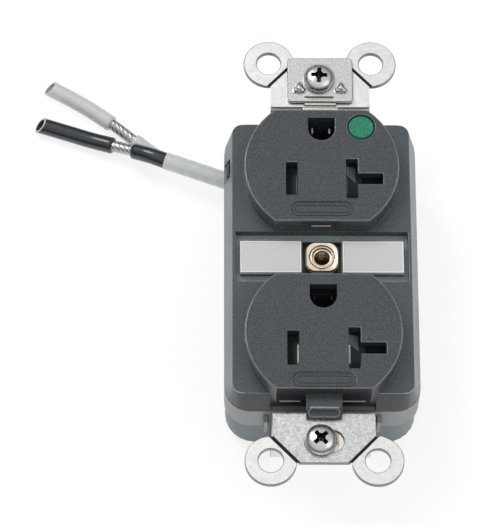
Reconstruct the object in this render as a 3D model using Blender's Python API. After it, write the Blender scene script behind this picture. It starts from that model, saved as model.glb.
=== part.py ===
"""A 20 A duplex receptacle with two short stripped leads, lying on its back.

The part's frame: +Z is the way the outlet faces look, +Y points to the ground-hole end, and the origin is on
the surface that the strap's back rests on, under the middle of the device. Lengths are in millimetres until
they reach a mesh, which is in metres.
"""

import math

import bmesh
import bpy
from mathutils import Vector

MM = 0.001
GAP = 0.3  # clearance between pieces that touch

# Levels along Z
FACE_Z = 31.2  # front of the outlet faces
FACE_PLATE = 2.4  # thickness of a face's front plate
COVER_Z = 26.2  # front of the cover round the faces
COVER_SEAM_Z = 20.3  # the cover's lower edge
POCKET_Z = 24.2  # floor of the pocket between the faces
BUSHING_Z = 22.4  # floor of the square recess round the centre bushing
BODY_SEAM_Z = 11.9  # middle housing above, back body below
BACK_Z = 1.5  # the back body's underside

# Housing outline
BODY_HALF_X, BODY_HALF_Y, BODY_CORNER = 20.5, 32.6, 5.4
FRONT_HALF_X, FRONT_HALF_Y, FRONT_CORNER = 18.85, 31.1, 2.1
BACK_INSET = 0.3
WALL = 1.7
POCKET_HALF_X, POCKET_HALF_Y = 18.2, 5.8

# Outlet faces and their openings
OUTLET_Y = 19.45  # half the 38.9 mm pitch of a duplex receptacle
FACE_Y, FACE_R, FACE_HALF_FLAT = 19.1, 16.4, 13.1
FACE_WALL = 1.6
FACE_FOOT_Z = 24.0
BLADE_DY, GROUND_DY = -3.55, 8.35  # from the outlet's centre
BLADE_X = 6.35
SLOT_W, HOT_SLOT_H, NEUTRAL_SLOT_H, ARM_END_X = 2.5, 7.7, 9.25, 12.9
GROUND_R, GROUND_TOP = 2.85, 2.5
DOT_X, DOT_DY, DOT_R = 8.47, 8.69, 2.65
BADGE_HALF_X, BADGE_R, BADGE_DY, BADGE_DEPTH = 6.65, 1.75, -10.6, 0.2

# Label windows in the pocket, and the brass bushing between them
LABEL_X, LABEL_HALF_X, LABEL_HALF_Y, LABEL_RIM, LABEL_Z0 = 10.78, 6.42, 3.62, 0.35, 25.2

# Mounting strap
STRAP_T, STRAP_HALF_X, STRAP_TOP_Z = 1.2, 10.6, 26.0
STRAP_RISER_Y = 34.2  # the riser's inner face
STRAP_END_Y, STRAP_END_HALF_X, STRAP_SHOULDER_Y = 46.5, 5.1, 40.6
EAR_X, EAR_Y, EAR_R, EAR_HOLE_R = 11.0, 45.96, 5.4, 2.6
SCORE_HALF = 0.42
STRAP_SLOT_HALF_X, STRAP_SLOT_R = 4.1, 2.45
SCREW_Y = 41.67  # half the 83.34 mm spacing of the mounting screws

# Self-grounding clip
CLIP_T, CLIP_HALF_X, CLIP_Y0, CLIP_Y1 = 0.7, 7.0, 36.3, 46.9
TONGUE_HALF_X, TONGUE_Y0, TONGUE_FOOT_Z = 3.4, 33.1, 22.5
LANCE_X, LANCE_Y = 4.45, 39.5

# Mounting screws, No. 6-32 by 9.5 mm, lying a little to the left in their slots
HEAD_R, HEAD_H, SHANK_R, SCREW_L = 3.4, 2.0, 1.75, 9.5
SCREW_X_TOP, SCREW_X_BOTTOM = -0.25, -0.7
RETAINER_HALF_X, RETAINER_HALF_Y, RETAINER_T, RETAINER_Z = 3.9, 3.4, 0.8, 21.6

# Tamper-resistant shutters
SHUTTER_Z0, SHUTTER_Z1, SHUTTER_LOW_Z = 25.9, 28.3, 26.7
SHUTTER_X0, SHUTTER_X1, SHUTTER_HALF_Y = 4.3, 8.8, 5.2
SHUTTER_LEG_X, SHUTTER_LEG_Y = 7.4, 8.0
SPRING_HALF_X, SPRING_DY, SPRING_R, SPRING_WIRE, SPRING_TURNS = 7.0, 6.6, 0.8, 0.15, 6
TRAY_Z0, TRAY_Z1, TRAY_R, TRAY_HALF_FLAT, TRAY_WALL = 24.4, 25.6, 14.3, 11.0, 1.1

# Leads: 12 AWG stranded in thin insulation
LEAD_R, STRAND_R = 1.8, 1.25
LEAD_LIFT = 1.92  # half the spacing of the two conductors inside the sleeve
SLEEVE_R = 1.95
SLEEVE_START, SLEEVE_END = Vector((-20.15, 28.8, 3.78)), Vector((-33.0, 33.5, 3.78))
SLEEVE_LEAN = math.radians(25)
BLACK_ROUTE = [
    (-33.88, 32.96, 5.52), (-36.6, 34.1, 5.34), (-40.3, 35.8, 4.12), (-44.7, 37.6, 2.88),
    (-49.5, 39.3, 2.1), (-55.0, 41.2, 1.9), (-61.4, 43.3, 1.88),
]
BLACK_STRIP_X = (-40.3, -44.9)  # bare between these two
WHITE_ROUTE = [
    (-33.32, 34.49, 2.04), (-35.7, 35.6, 1.97), (-39.9, 39.05, 1.9), (-45.4, 43.6, 1.88),
    (-52.0, 48.25, 1.88), (-59.4, 52.6, 1.88),
]
WHITE_STRIP_X = (-40.2, -45.3)

COLOURS = {  # base colour, roughness, metallic
    "cover_grey": ((0.085, 0.088, 0.092), 0.42, 0.0),
    "housing_grey": ((0.29, 0.31, 0.31), 0.5, 0.0),
    "body_grey": ((0.16, 0.19, 0.2), 0.5, 0.0),
    "zinc_steel": ((0.72, 0.72, 0.70), 0.35, 1.0),
    "brass": ((0.75, 0.56, 0.30), 0.3, 1.0),
    "copper": ((0.78, 0.62, 0.48), 0.3, 1.0),
    "spring_steel": ((0.6, 0.6, 0.6), 0.3, 1.0),
    "label_white": ((0.6, 0.58, 0.58), 0.5, 0.0),
    "frame_white": ((0.85, 0.85, 0.85), 0.3, 0.0),
    "dot_green": ((0.02, 0.28, 0.14), 0.35, 0.0),
    "shutter_grey": ((0.2, 0.22, 0.23), 0.5, 0.0),
    "tray_black": ((0.03, 0.03, 0.03), 0.6, 0.0),
    "lead_black": ((0.02, 0.025, 0.03), 0.35, 0.0),
    "lead_white": ((0.75, 0.76, 0.76), 0.35, 0.0),
}


def clear_scene():
    for old in list(bpy.data.objects):
        bpy.data.objects.remove(old, do_unlink=True)


def material(name):
    """The Principled material of that name, made once."""
    found = bpy.data.materials.get(name)
    if found:
        return found
    colour, roughness, metallic = COLOURS[name]
    made = bpy.data.materials.new(name)
    made.use_nodes = True
    shader = made.node_tree.nodes["Principled BSDF"]
    shader.inputs["Base Color"].default_value = (*colour, 1.0)
    shader.inputs["Roughness"].default_value = roughness
    shader.inputs["Metallic"].default_value = metallic
    return made


# ---------------------------------------------------------------- outlines

def arc(centre, radius, start, end, steps):
    """Points along an arc, both ends included, angles in radians."""
    return [
        (centre[0] + radius * math.cos(a), centre[1] + radius * math.sin(a))
        for a in (start + (end - start) * i / steps for i in range(steps + 1))
    ]


def rectangle(x0, x1, y0, y1):
    return [(x0, y0), (x1, y0), (x1, y1), (x0, y1)]


def rounded_rectangle(half_x, half_y, radius, steps=6):
    points = []
    for quarter, (sx, sy) in enumerate(((1, 1), (-1, 1), (-1, -1), (1, -1))):
        corner = (sx * (half_x - radius), sy * (half_y - radius))
        points += arc(corner, radius, quarter * math.pi / 2, (quarter + 1) * math.pi / 2, steps)
    return points


def circle(centre, radius, steps=32):
    return arc(centre, radius, 0, 2 * math.pi, steps)[:-1]


def flatted_circle(centre, radius, half_flat, steps=16):
    """A circle cut by two flats, above and below its centre."""
    limit = math.asin(half_flat / radius)
    return arc(centre, radius, -limit, limit, steps) + arc(
        centre, radius, math.pi - limit, math.pi + limit, steps
    )


def racetrack(centre, half_x, radius, steps=8):
    x, y = centre
    right = arc((x + half_x - radius, y), radius, -math.pi / 2, math.pi / 2, steps)
    left = arc((x - half_x + radius, y), radius, math.pi / 2, 3 * math.pi / 2, steps)
    return right + left


def d_shape(centre, radius, top, steps=14):
    """The ground opening: round below its centre, square above."""
    x, y = centre
    return [(x + radius, y + top), (x - radius, y + top)] + arc(
        centre, radius, math.pi, 2 * math.pi, steps
    )


# ---------------------------------------------------------------- solids

def loft(levels):
    """A closed mesh through outlines of the same number of points, each (points, z), from low to high."""
    mesh = bmesh.new()
    rings = [[mesh.verts.new((x * MM, y * MM, z * MM)) for x, y in points] for points, z in levels]
    mesh.faces.new(rings[0])
    mesh.faces.new(rings[-1])
    for low, high in zip(rings, rings[1:]):
        for i in range(len(low)):
            j = (i + 1) % len(low)
            mesh.faces.new((low[i], low[j], high[j], high[i]))
    mesh.normal_update()
    bmesh.ops.recalc_face_normals(mesh, faces=mesh.faces)
    return mesh


def prism(points, z0, z1):
    return loft([(points, z0), (points, z1)])


def close_rings(mesh, start, end):
    """Caps two rings of vertices and joins them, facing outward."""
    mesh.faces.new(start)
    mesh.faces.new(end)
    for i in range(len(start)):
        j = (i + 1) % len(start)
        mesh.faces.new((start[i], start[j], end[j], end[i]))
    mesh.normal_update()
    bmesh.ops.recalc_face_normals(mesh, faces=mesh.faces)


def across_x(points, x0, x1):
    """A prism along X of an outline given as (y, z)."""
    mesh = bmesh.new()
    rings = [[mesh.verts.new((x * MM, y * MM, z * MM)) for y, z in points] for x in (x0, x1)]
    close_rings(mesh, *rings)
    return mesh


def along_y(points, y0, y1):
    """A prism along Y of an outline given as (x, z)."""
    mesh = bmesh.new()
    rings = [[mesh.verts.new((x * MM, y * MM, z * MM)) for x, z in points] for y in (y0, y1)]
    close_rings(mesh, *rings)
    return mesh


def block(x0, x1, y0, y1, z0, z1):
    return prism(rectangle(x0, x1, y0, y1), z0, z1)


def turned(profile, centre, steps=28):
    """A solid turned about Z, from (radius, z) points running from its foot on the axis to its top on the axis."""
    inner = [(r, z) for r, z in profile if r > 0]
    return loft([(circle(centre, r, steps), z) for r, z in inner])


def place(name, mesh, finish, angle=30):
    data = bpy.data.meshes.new(name)
    mesh.to_mesh(data)
    mesh.free()
    data.materials.append(material(finish))
    data.shade_smooth()
    data.set_sharp_from_angle(angle=math.radians(angle))
    made = bpy.data.objects.new(name, data)
    bpy.context.scene.collection.objects.link(made)
    return made


def combine(target, mesh, operation):
    """Adds a Boolean with a helper object that only shows as wire."""
    count = len(target.modifiers)
    data = bpy.data.meshes.new(f"{target.name}_tool_{count}")
    mesh.to_mesh(data)
    mesh.free()
    tool = bpy.data.objects.new(data.name, data)
    tool.hide_render = True
    tool.display_type = "WIRE"
    bpy.context.scene.collection.objects.link(tool)
    modifier = target.modifiers.new(f"{operation.lower()}_{count}", "BOOLEAN")
    modifier.operation = operation
    modifier.solver = "EXACT"
    modifier.object = tool


def add(target, *meshes):
    for mesh in meshes:
        combine(target, mesh, "UNION")


def cut(target, *meshes):
    for mesh in meshes:
        combine(target, mesh, "DIFFERENCE")


def tube(name, points, radius, finish, sides=2):
    """A closed tube along millimetre points, as a filled curve."""
    data = bpy.data.curves.new(name, "CURVE")
    data.dimensions = "3D"
    data.bevel_depth = radius * MM
    data.bevel_resolution = sides
    data.use_fill_caps = True
    line = data.splines.new("POLY")
    line.points.add(len(points) - 1)
    for spot, point in zip(line.points, points):
        spot.co = (*[value * MM for value in point], 1.0)
    data.materials.append(material(finish))
    made = bpy.data.objects.new(name, data)
    bpy.context.scene.collection.objects.link(made)
    return made


def smooth_route(route, spacing=4.0):
    """Points on a Catmull-Rom curve through the route, about that far apart."""
    nodes = [Vector(p) for p in route]
    nodes = [nodes[0] * 2 - nodes[1], *nodes, nodes[-1] * 2 - nodes[-2]]
    points = []
    for a, b, c, d in zip(nodes, nodes[1:], nodes[2:], nodes[3:]):
        steps = max(1, round((c - b).length / spacing))
        for i in range(steps):
            t = i / steps
            points.append(
                0.5 * (2 * b + (c - a) * t + (2 * a - 5 * b + 4 * c - d) * t**2 + (3 * b - a - 3 * c + d) * t**3)
            )
    return points + [nodes[-2]]


# ---------------------------------------------------------------- outlets

def outlets():
    """Name and centre of each outlet, upper first."""
    return (("upper", OUTLET_Y, FACE_Y), ("lower", -OUTLET_Y, -FACE_Y))


def blade_openings(centre_y, z0, z1, extra=0.0):
    """Cutters for the hot slot, the neutral T and the ground hole, grown by extra on each side."""
    y = centre_y + BLADE_DY
    half_w, half_hot, half_neutral = SLOT_W / 2 + extra, HOT_SLOT_H / 2 + extra, NEUTRAL_SLOT_H / 2 + extra
    tee = [
        (BLADE_X - half_w, y - half_neutral), (BLADE_X + half_w, y - half_neutral),
        (BLADE_X + half_w, y - half_w), (ARM_END_X + extra, y - half_w),
        (ARM_END_X + extra, y + half_w), (BLADE_X + half_w, y + half_w),
        (BLADE_X + half_w, y + half_neutral), (BLADE_X - half_w, y + half_neutral),
    ]
    return [
        block(-BLADE_X - half_w, -BLADE_X + half_w, y - half_hot, y + half_hot, z0, z1),
        prism(tee, z0, z1),
        prism(d_shape((0, centre_y + GROUND_DY), GROUND_R + extra, GROUND_TOP + extra), z0, z1),
    ]


def face_block(face_y):
    """One raised outlet face with a rounded front edge."""
    levels = [(0.0, FACE_FOOT_Z), (0.0, FACE_Z - 0.32), (0.1, FACE_Z - 0.1), (0.32, FACE_Z)]
    return loft([
        (flatted_circle((0, face_y), FACE_R - inset, FACE_HALF_FLAT - inset), z) for inset, z in levels
    ])


def front_cover():
    base = rounded_rectangle(BODY_HALF_X, BODY_HALF_Y, BODY_CORNER)
    front = rounded_rectangle(FRONT_HALF_X, FRONT_HALF_Y, FRONT_CORNER)
    cover = place("front_cover", loft([(base, COVER_SEAM_Z), (front, COVER_Z)]), "cover_grey")
    inner_low = rounded_rectangle(BODY_HALF_X - WALL, BODY_HALF_Y - WALL, BODY_CORNER - WALL)
    inner_high = rounded_rectangle(FRONT_HALF_X - WALL + 0.5, FRONT_HALF_Y - WALL + 0.5, 1.6)
    cut(cover, loft([(inner_low, COVER_SEAM_Z - 1), (inner_high, COVER_Z - 1.8)]))
    for _, _, face_y in outlets():
        add(cover, face_block(face_y))
    pocket_wall = POCKET_HALF_Y + 1.7
    add(
        cover,
        block(-18.6, 18.6, -pocket_wall, pocket_wall, POCKET_Z - 1.4, COVER_Z - 0.9),
        block(-6.0, 6.0, -pocket_wall - 0.1, pocket_wall + 0.1, BUSHING_Z - 1.4, POCKET_Z - 0.5),
    )
    for _, _, face_y in outlets():
        cavity = flatted_circle((0, face_y), FACE_R - FACE_WALL, FACE_HALF_FLAT - FACE_WALL)
        cut(cover, prism(cavity, COVER_SEAM_Z - 1, FACE_Z - FACE_PLATE))
    cut(cover, block(-POCKET_HALF_X, POCKET_HALF_X, -POCKET_HALF_Y, POCKET_HALF_Y, POCKET_Z, COVER_Z + 1))
    for side in (-1, 1):  # pads under the label windows
        x = side * LABEL_X
        add(cover, block(x - LABEL_HALF_X, x + LABEL_HALF_X, -LABEL_HALF_Y, LABEL_HALF_Y, POCKET_Z - 0.5, LABEL_Z0 - GAP))
    cut(cover, block(-4.1, 4.1, -4.3, 4.3, BUSHING_Z, POCKET_Z + 1))
    cut(cover, prism(circle((0, 0), 2.9, 24), BUSHING_Z - 3, BUSHING_Z + 1))
    for _, centre_y, _ in outlets():
        cut(cover, *blade_openings(centre_y, FACE_Z - FACE_PLATE - 1, FACE_Z + 1))
        badge = racetrack((0, centre_y + BADGE_DY), BADGE_HALF_X, BADGE_R)
        cut(cover, prism(badge, FACE_Z - BADGE_DEPTH, FACE_Z + 1))
    dot = circle((DOT_X, OUTLET_Y + DOT_DY), DOT_R + GAP)
    cut(cover, prism(dot, FACE_Z - 1.2, FACE_Z + 1))
    for side in (-1, 1):  # room for the strap's risers
        near, far = sorted((side * 31.5, side * 34.5))
        cut(cover, block(-11.0, 11.0, near, far, COVER_SEAM_Z - 1, FACE_FOOT_Z - 0.2))
    tab = [(-31.6, 28.2), (-35.25, 28.2), (-36.8, 26.9), (-36.8, 26.35), (-31.6, 26.35)]
    add(cover, across_x(tab, -3.7, 3.7))
    cut(cover, block(-22, -19.3, 19.6, 23.9, COVER_SEAM_Z - 1, 24.6))


def green_dot():
    centre = (DOT_X, OUTLET_Y + DOT_DY)
    levels = [(0.0, FACE_Z - 0.9), (0.0, FACE_Z - 0.2), (0.25, FACE_Z - 0.03)]
    place("grade_dot", loft([(circle(centre, DOT_R - inset), z) for inset, z in levels]), "dot_green")


def labels():
    """A thin white holder with a blank card in it on each side of the centre bushing."""
    for name, side in (("left", -1), ("right", 1)):
        x, half_x, half_y = side * LABEL_X, LABEL_HALF_X, LABEL_HALF_Y
        plate = block(x - half_x, x + half_x, -half_y, half_y, LABEL_Z0, COVER_Z)
        holder = place(f"label_holder_{name}", plate, "frame_white")
        half_x, half_y = half_x - LABEL_RIM, half_y - LABEL_RIM
        cut(holder, block(x - half_x, x + half_x, -half_y, half_y, COVER_Z - 0.65, COVER_Z + 1))
        half_x, half_y = half_x - 0.2, half_y - 0.2
        card = block(x - half_x, x + half_x, -half_y, half_y, COVER_Z - 0.4, COVER_Z - 0.12)
        place(f"label_card_{name}", card, "label_white")


def centre_bushing():
    """The brass post that the wall plate's screw threads into, with a square flange at the front."""
    flange = loft([
        (rounded_rectangle(3.5, 3.5, 2.0), BUSHING_Z + GAP),
        (rounded_rectangle(3.5, 3.5, 2.0), COVER_Z - 0.35),
        (rounded_rectangle(3.2, 3.2, 1.7), COVER_Z),
    ])
    post = place("centre_bushing", flange, "brass")
    add(post, prism(circle((0, 0), 2.5, 24), BACK_Z, BUSHING_Z + 1))
    cut(post, loft([
        (circle((0, 0), 1.6, 20), COVER_Z - 14), (circle((0, 0), 1.6, 20), COVER_Z - 0.9),
        (circle((0, 0), 3.0, 20), COVER_Z + 0.5),
    ]))


# ---------------------------------------------------------------- housings

ASSEMBLY_SCREWS = [(sx * 16.0, sy * 11.0) for sx in (-1, 1) for sy in (-1, 1)]


def middle_housing():
    outline = rounded_rectangle(BODY_HALF_X, BODY_HALF_Y, BODY_CORNER)
    z0, z1 = BODY_SEAM_Z + GAP / 2, COVER_SEAM_Z - GAP
    housing = place("middle_housing", prism(outline, z0, z1), "housing_grey")
    inner = rounded_rectangle(BODY_HALF_X - WALL, BODY_HALF_Y - WALL, BODY_CORNER - WALL)
    cut(housing, prism(inner, z0 - 1, z1 - 1.4))
    for x, y in ASSEMBLY_SCREWS:
        add(housing, prism(circle((x, y), 3.0, 20), z0 + 0.2, z1 - 0.5))
        cut(housing, prism(circle((x, y), 1.6, 16), z0 - 1, z1 - 1.6))
    for _, centre_y, _ in outlets():
        y = centre_y + BLADE_DY
        ground_top = min(centre_y + GROUND_DY + 3.1, BODY_HALF_Y - WALL - 0.6)
        cut(
            housing,
            block(-9.6, 9.6, y - 5.6, y + 6.4, z1 - 3, z1 + 1),
            block(-3.4, 3.4, y + 6.0, ground_top, z1 - 3, z1 + 1),
            block(9.2, 13.2, y - 1.7, y + 1.7, z1 - 3, z1 + 1),
        )
    cut(housing, prism(circle((0, 0), 2.9, 24), z1 - 3, z1 + 1))
    for sx in (-1, 1):  # ribs that guide the strap's risers
        for sy in (-1, 1):
            x0, x1 = sorted((sx * 11.3, sx * 12.3))
            y0, y1 = sorted((sy * 32.2, sy * 34.1))
            add(housing, block(x0, x1, y0, y1, z0, 17.8))


def back_body():
    half_x, half_y = BODY_HALF_X - BACK_INSET, BODY_HALF_Y - BACK_INSET
    z1 = BODY_SEAM_Z - GAP / 2
    levels = [(0.8, BACK_Z), (0.0, BACK_Z + 0.8), (0.0, z1)]
    body = place(
        "back_body",
        loft([(rounded_rectangle(half_x - d, half_y - d, BODY_CORNER + 0.9 - d), z) for d, z in levels]),
        "body_grey",
    )
    inner = rounded_rectangle(half_x - WALL, half_y - WALL, BODY_CORNER + 0.9 - WALL)
    cut(body, prism(inner, BACK_Z + 2.0, z1 + 1))
    for x, y in ASSEMBLY_SCREWS:
        add(body, prism(circle((x, y), 3.2, 20), BACK_Z + 1, z1 - 0.1))
        cut(body, prism(circle((x, y), 1.7, 16), BACK_Z - 1, z1 + 1))
        cut(body, prism(circle((x, y), 3.0, 20), BACK_Z - 1, BACK_Z + 1.6))
    for y in (0.0, RIVETS[0], RIVETS[1]):
        radius = 2.9 if y == 0 else 1.9
        cut(body, prism(circle((0, y), radius, 20), BACK_Z - 1, BACK_Z + 3))
    for side in (-1, 1):  # pillars that hold up the line buses
        x0, x1 = sorted((side * 9.9, side * 11.3))
        add(body, block(x0, x1, -4.0, 4.0, BACK_Z + 1, 12.3))
    start = SLEEVE_START
    cut(body, block(start.x - 1, start.x + 3.5, start.y - 2.8, start.y + 2.8, BACK_Z + 0.55, 7.6))


def assembly_screws():
    """Four screws from the back body into the middle housing."""
    for number, (x, y) in enumerate(ASSEMBLY_SCREWS, 1):
        head, shank = BACK_Z + 1.3, 17.5
        profile = [(2.3, BACK_Z + 0.1), (2.65, BACK_Z + 0.5), (2.65, head), (1.3, head), (1.3, shank - 1), (0.4, shank)]
        screw = place(f"assembly_screw_{number}", turned(profile, (x, y), 16), "zinc_steel")
        cut(screw, block(x - 0.35, x + 0.35, y - 1.5, y + 1.5, BACK_Z - 1, BACK_Z + 0.9))
        cut(screw, block(x - 1.5, x + 1.5, y - 0.35, y + 0.35, BACK_Z - 1, BACK_Z + 0.9))


# ---------------------------------------------------------------- strap and clip

def bent_strip(corners, radius, thickness, steps=5):
    """Outline of a strip of sheet along a path of corners, each bend rounded to that inner radius."""
    path = [Vector(p) for p in corners]
    centre = radius + thickness / 2
    spine = [(path[0], (path[1] - path[0]).normalized())]
    for a, b, c in zip(path, path[1:], path[2:]):
        into, out = (b - a).normalized(), (c - b).normalized()
        turn = math.atan2(into.x * out.y - into.y * out.x, into.dot(out))
        reach = centre * math.tan(abs(turn) / 2)
        side = 1 if turn > 0 else -1
        hub = b - into * reach + side * centre * Vector((-into.y, into.x))
        for i in range(steps + 1):
            heading = math.atan2(into.y, into.x) + turn * i / steps
            ahead = Vector((math.cos(heading), math.sin(heading)))
            spine.append((hub - side * centre * Vector((-ahead.y, ahead.x)), ahead))
    spine.append((path[-1], (path[-1] - path[-2]).normalized()))
    sides = []
    for sign in (1, -1):
        sides.append([tuple(p + sign * thickness / 2 * Vector((-d.y, d.x))) for p, d in spine])
    return sides[0] + sides[1][::-1]


def ear_centres():
    return [(sx * EAR_X, sy * EAR_Y, sx, sy) for sx in (-1, 1) for sy in (-1, 1)]


RIVETS = (-8.0, 20.0)  # along Y, through strap, back body and ground bus


def mounting_strap():
    """One strip wrapped round the back of the device, turned out at both ends into scored, break-off ears."""
    ear_z, riser_y = STRAP_TOP_Z - STRAP_T / 2, STRAP_RISER_Y + STRAP_T / 2
    corners = [
        (-STRAP_SHOULDER_Y + 1, ear_z), (-riser_y, ear_z), (-riser_y, STRAP_T / 2),
        (riser_y, STRAP_T / 2), (riser_y, ear_z), (STRAP_SHOULDER_Y - 1, ear_z),
    ]
    strip = bent_strip(corners, 0.45, STRAP_T)
    strap = place("mounting_strap", across_x(strip, -STRAP_HALF_X, STRAP_HALF_X), "zinc_steel")
    z0 = STRAP_TOP_Z - STRAP_T
    for sy in (-1, 1):
        plate = [
            (-STRAP_HALF_X, sy * 37.5), (STRAP_HALF_X, sy * 37.5), (STRAP_HALF_X, sy * STRAP_SHOULDER_Y),
            (STRAP_END_HALF_X, sy * STRAP_END_Y), (-STRAP_END_HALF_X, sy * STRAP_END_Y),
            (-STRAP_HALF_X, sy * STRAP_SHOULDER_Y),
        ]
        add(strap, prism(plate, z0, STRAP_TOP_Z))
    for x, y, _, _ in ear_centres():
        add(strap, prism(circle((x, y), EAR_R, 40), z0, STRAP_TOP_Z))
    for x, y, sx, sy in ear_centres():
        cut(strap, prism(circle((x, y), EAR_HOLE_R, 28), z0 - 1, STRAP_TOP_Z + 1))
        cut(strap, score_groove(sx, sy))
    for sy in (-1, 1):
        cut(strap, prism(racetrack((0, sy * SCREW_Y), STRAP_SLOT_HALF_X, STRAP_SLOT_R), z0 - 1, STRAP_TOP_Z + 1))
    for y in RIVETS:
        cut(strap, prism(circle((0, y), 1.9, 20), -1, STRAP_T + 1))


def score_groove(sx, sy):
    """A V cutter along the line where an ear breaks off."""
    start = Vector((sx * 5.2, sy * 46.55))
    end = Vector((sx * 11.25, sy * 40.25))
    run = (end - start).normalized()
    start, end = start - run * 0.8, end + run * 0.8
    side = Vector((-run.y, run.x)) * SCORE_HALF
    mesh = bmesh.new()
    rings = []
    for point in (start, end):
        edges = [(point + side, STRAP_TOP_Z + 0.1), (point - side, STRAP_TOP_Z + 0.1), (point, STRAP_TOP_Z - 0.4)]
        rings.append([mesh.verts.new((p.x * MM, p.y * MM, z * MM)) for p, z in edges])
    close_rings(mesh, *rings)
    return mesh


def ground_clip():
    """The self-grounding plate under the upper screw: two raised points, and a tongue bent down into the gap."""
    z0, z1 = STRAP_TOP_Z + GAP, STRAP_TOP_Z + GAP + CLIP_T
    half_y = (CLIP_Y1 - CLIP_Y0) / 2
    middle = (CLIP_Y0 + CLIP_Y1) / 2
    outline = [(x, y + middle) for x, y in rounded_rectangle(CLIP_HALF_X, half_y, 0.9, 4)]
    clip = place("ground_clip", prism(outline, z0, z1), "zinc_steel")
    tongue = bent_strip(
        [(CLIP_Y0 + 2, z0 + CLIP_T / 2), (TONGUE_Y0 + CLIP_T / 2, z0 + CLIP_T / 2), (TONGUE_Y0 + CLIP_T / 2, TONGUE_FOOT_Z)],
        0.35, CLIP_T,
    )
    add(clip, across_x(tongue, -TONGUE_HALF_X, TONGUE_HALF_X))
    for sx in (-1, 1):
        x, y = sx * LANCE_X, LANCE_Y
        base = [(x - 1.3, y - 1.2), (x + 1.3, y - 1.2), (x, y + 1.5)]
        tip = [(x - 0.35, y - 1.1), (x + 0.35, y - 1.1), (x, y - 0.4)]
        add(clip, loft([(base, z1 - 0.2), (tip, z1 + 0.9)]))
    cut(clip, prism(circle((SCREW_X_TOP, SCREW_Y), 2.1, 24), z0 - 1, z1 + 1))


def mounting_screws():
    """Captive screws and the brass plates that keep them in the strap."""
    for name, x, sy, seat in (
        ("top", SCREW_X_TOP, 1, STRAP_TOP_Z + 2 * GAP + CLIP_T),
        ("bottom", SCREW_X_BOTTOM, -1, STRAP_TOP_Z + GAP),
    ):
        y, tip, crown = sy * SCREW_Y, seat - SCREW_L, seat + HEAD_H
        profile = [
            (0.7, tip), (SHANK_R, tip + 1.2), (SHANK_R, seat), (HEAD_R - 0.1, seat), (HEAD_R, seat + 0.35),
            (HEAD_R - 0.25, seat + 1.0), (HEAD_R - 1.0, seat + 1.65), (1.2, crown),
        ]
        screw = place(f"mounting_screw_{name}", turned(profile, (x, y), 24), "zinc_steel")
        for dx, dy in ((1.9, 0.42), (0.42, 1.9)):
            cross = [
                (rectangle(x - dx * s, x + dx * s, y - dy * s, y + dy * s), z)
                for s, z in ((0.45, crown - 1.5), (1.0, crown + 0.2))
            ]
            cut(screw, loft(cross))
        half_x, half_y, z0 = RETAINER_HALF_X, RETAINER_HALF_Y, RETAINER_Z
        plate = block(x - half_x, x + half_x, y - half_y, y + half_y, z0, z0 + RETAINER_T)
        retainer = place(f"screw_retainer_{name}", plate, "brass")
        cut(retainer, prism(circle((x, y), SHANK_R + GAP, 20), z0 - 1, z0 + 2))


# ---------------------------------------------------------------- mechanism

def shutter_tray(name, centre_y, face_y):
    """The plate that the shutters slide on, with a skirt that stands on the middle housing."""
    outline = flatted_circle((0, face_y), TRAY_R, TRAY_HALF_FLAT)
    inner = flatted_circle((0, face_y), TRAY_R - TRAY_WALL, TRAY_HALF_FLAT - TRAY_WALL)
    tray = place(f"shutter_tray_{name}", prism(outline, COVER_SEAM_Z, TRAY_Z1), "tray_black")
    cut(tray, prism(inner, COVER_SEAM_Z - 1, TRAY_Z0))
    cut(tray, *blade_openings(centre_y, COVER_SEAM_Z - 1, TRAY_Z1 + 1, 0.25))


def shutters(name, centre_y):
    """Two wedges that cover the slots; each slides to the middle when both blades press on the ramps."""
    y = centre_y + BLADE_DY
    ramp = [
        (SHUTTER_X0, SHUTTER_Z0), (SHUTTER_X1, SHUTTER_Z0), (SHUTTER_X1, SHUTTER_LOW_Z),
        (SHUTTER_X0 + 0.8, SHUTTER_Z1), (SHUTTER_X0, SHUTTER_Z1),
    ]
    for kind, side in (("hot", -1), ("neutral", 1)):
        outline = [(side * x, z) for x, z in ramp]
        wedge = place(
            f"shutter_{kind}_{name}",
            along_y(outline, y - SHUTTER_HALF_Y, y + SHUTTER_HALF_Y),
            "shutter_grey",
        )
        x0, x1 = sorted((side * SHUTTER_LEG_X, side * SHUTTER_X1))
        add(wedge, block(x0, x1, y + SHUTTER_HALF_Y - 1, y + SHUTTER_LEG_Y, SHUTTER_Z0, SHUTTER_Z1 - 0.1))


def shutter_spring(name, centre_y):
    """One coil between the two shutters' legs."""
    y, z = centre_y + BLADE_DY + SPRING_DY, (SHUTTER_Z0 + SHUTTER_Z1) / 2
    steps = 9
    points = [
        (
            -SPRING_HALF_X + 2 * SPRING_HALF_X * i / (SPRING_TURNS * steps),
            y + SPRING_R * math.cos(2 * math.pi * i / steps),
            z + SPRING_R * math.sin(2 * math.pi * i / steps),
        )
        for i in range(SPRING_TURNS * steps + 1)
    ]
    tube(f"shutter_spring_{name}", points, SPRING_WIRE, "spring_steel", 1)


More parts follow.
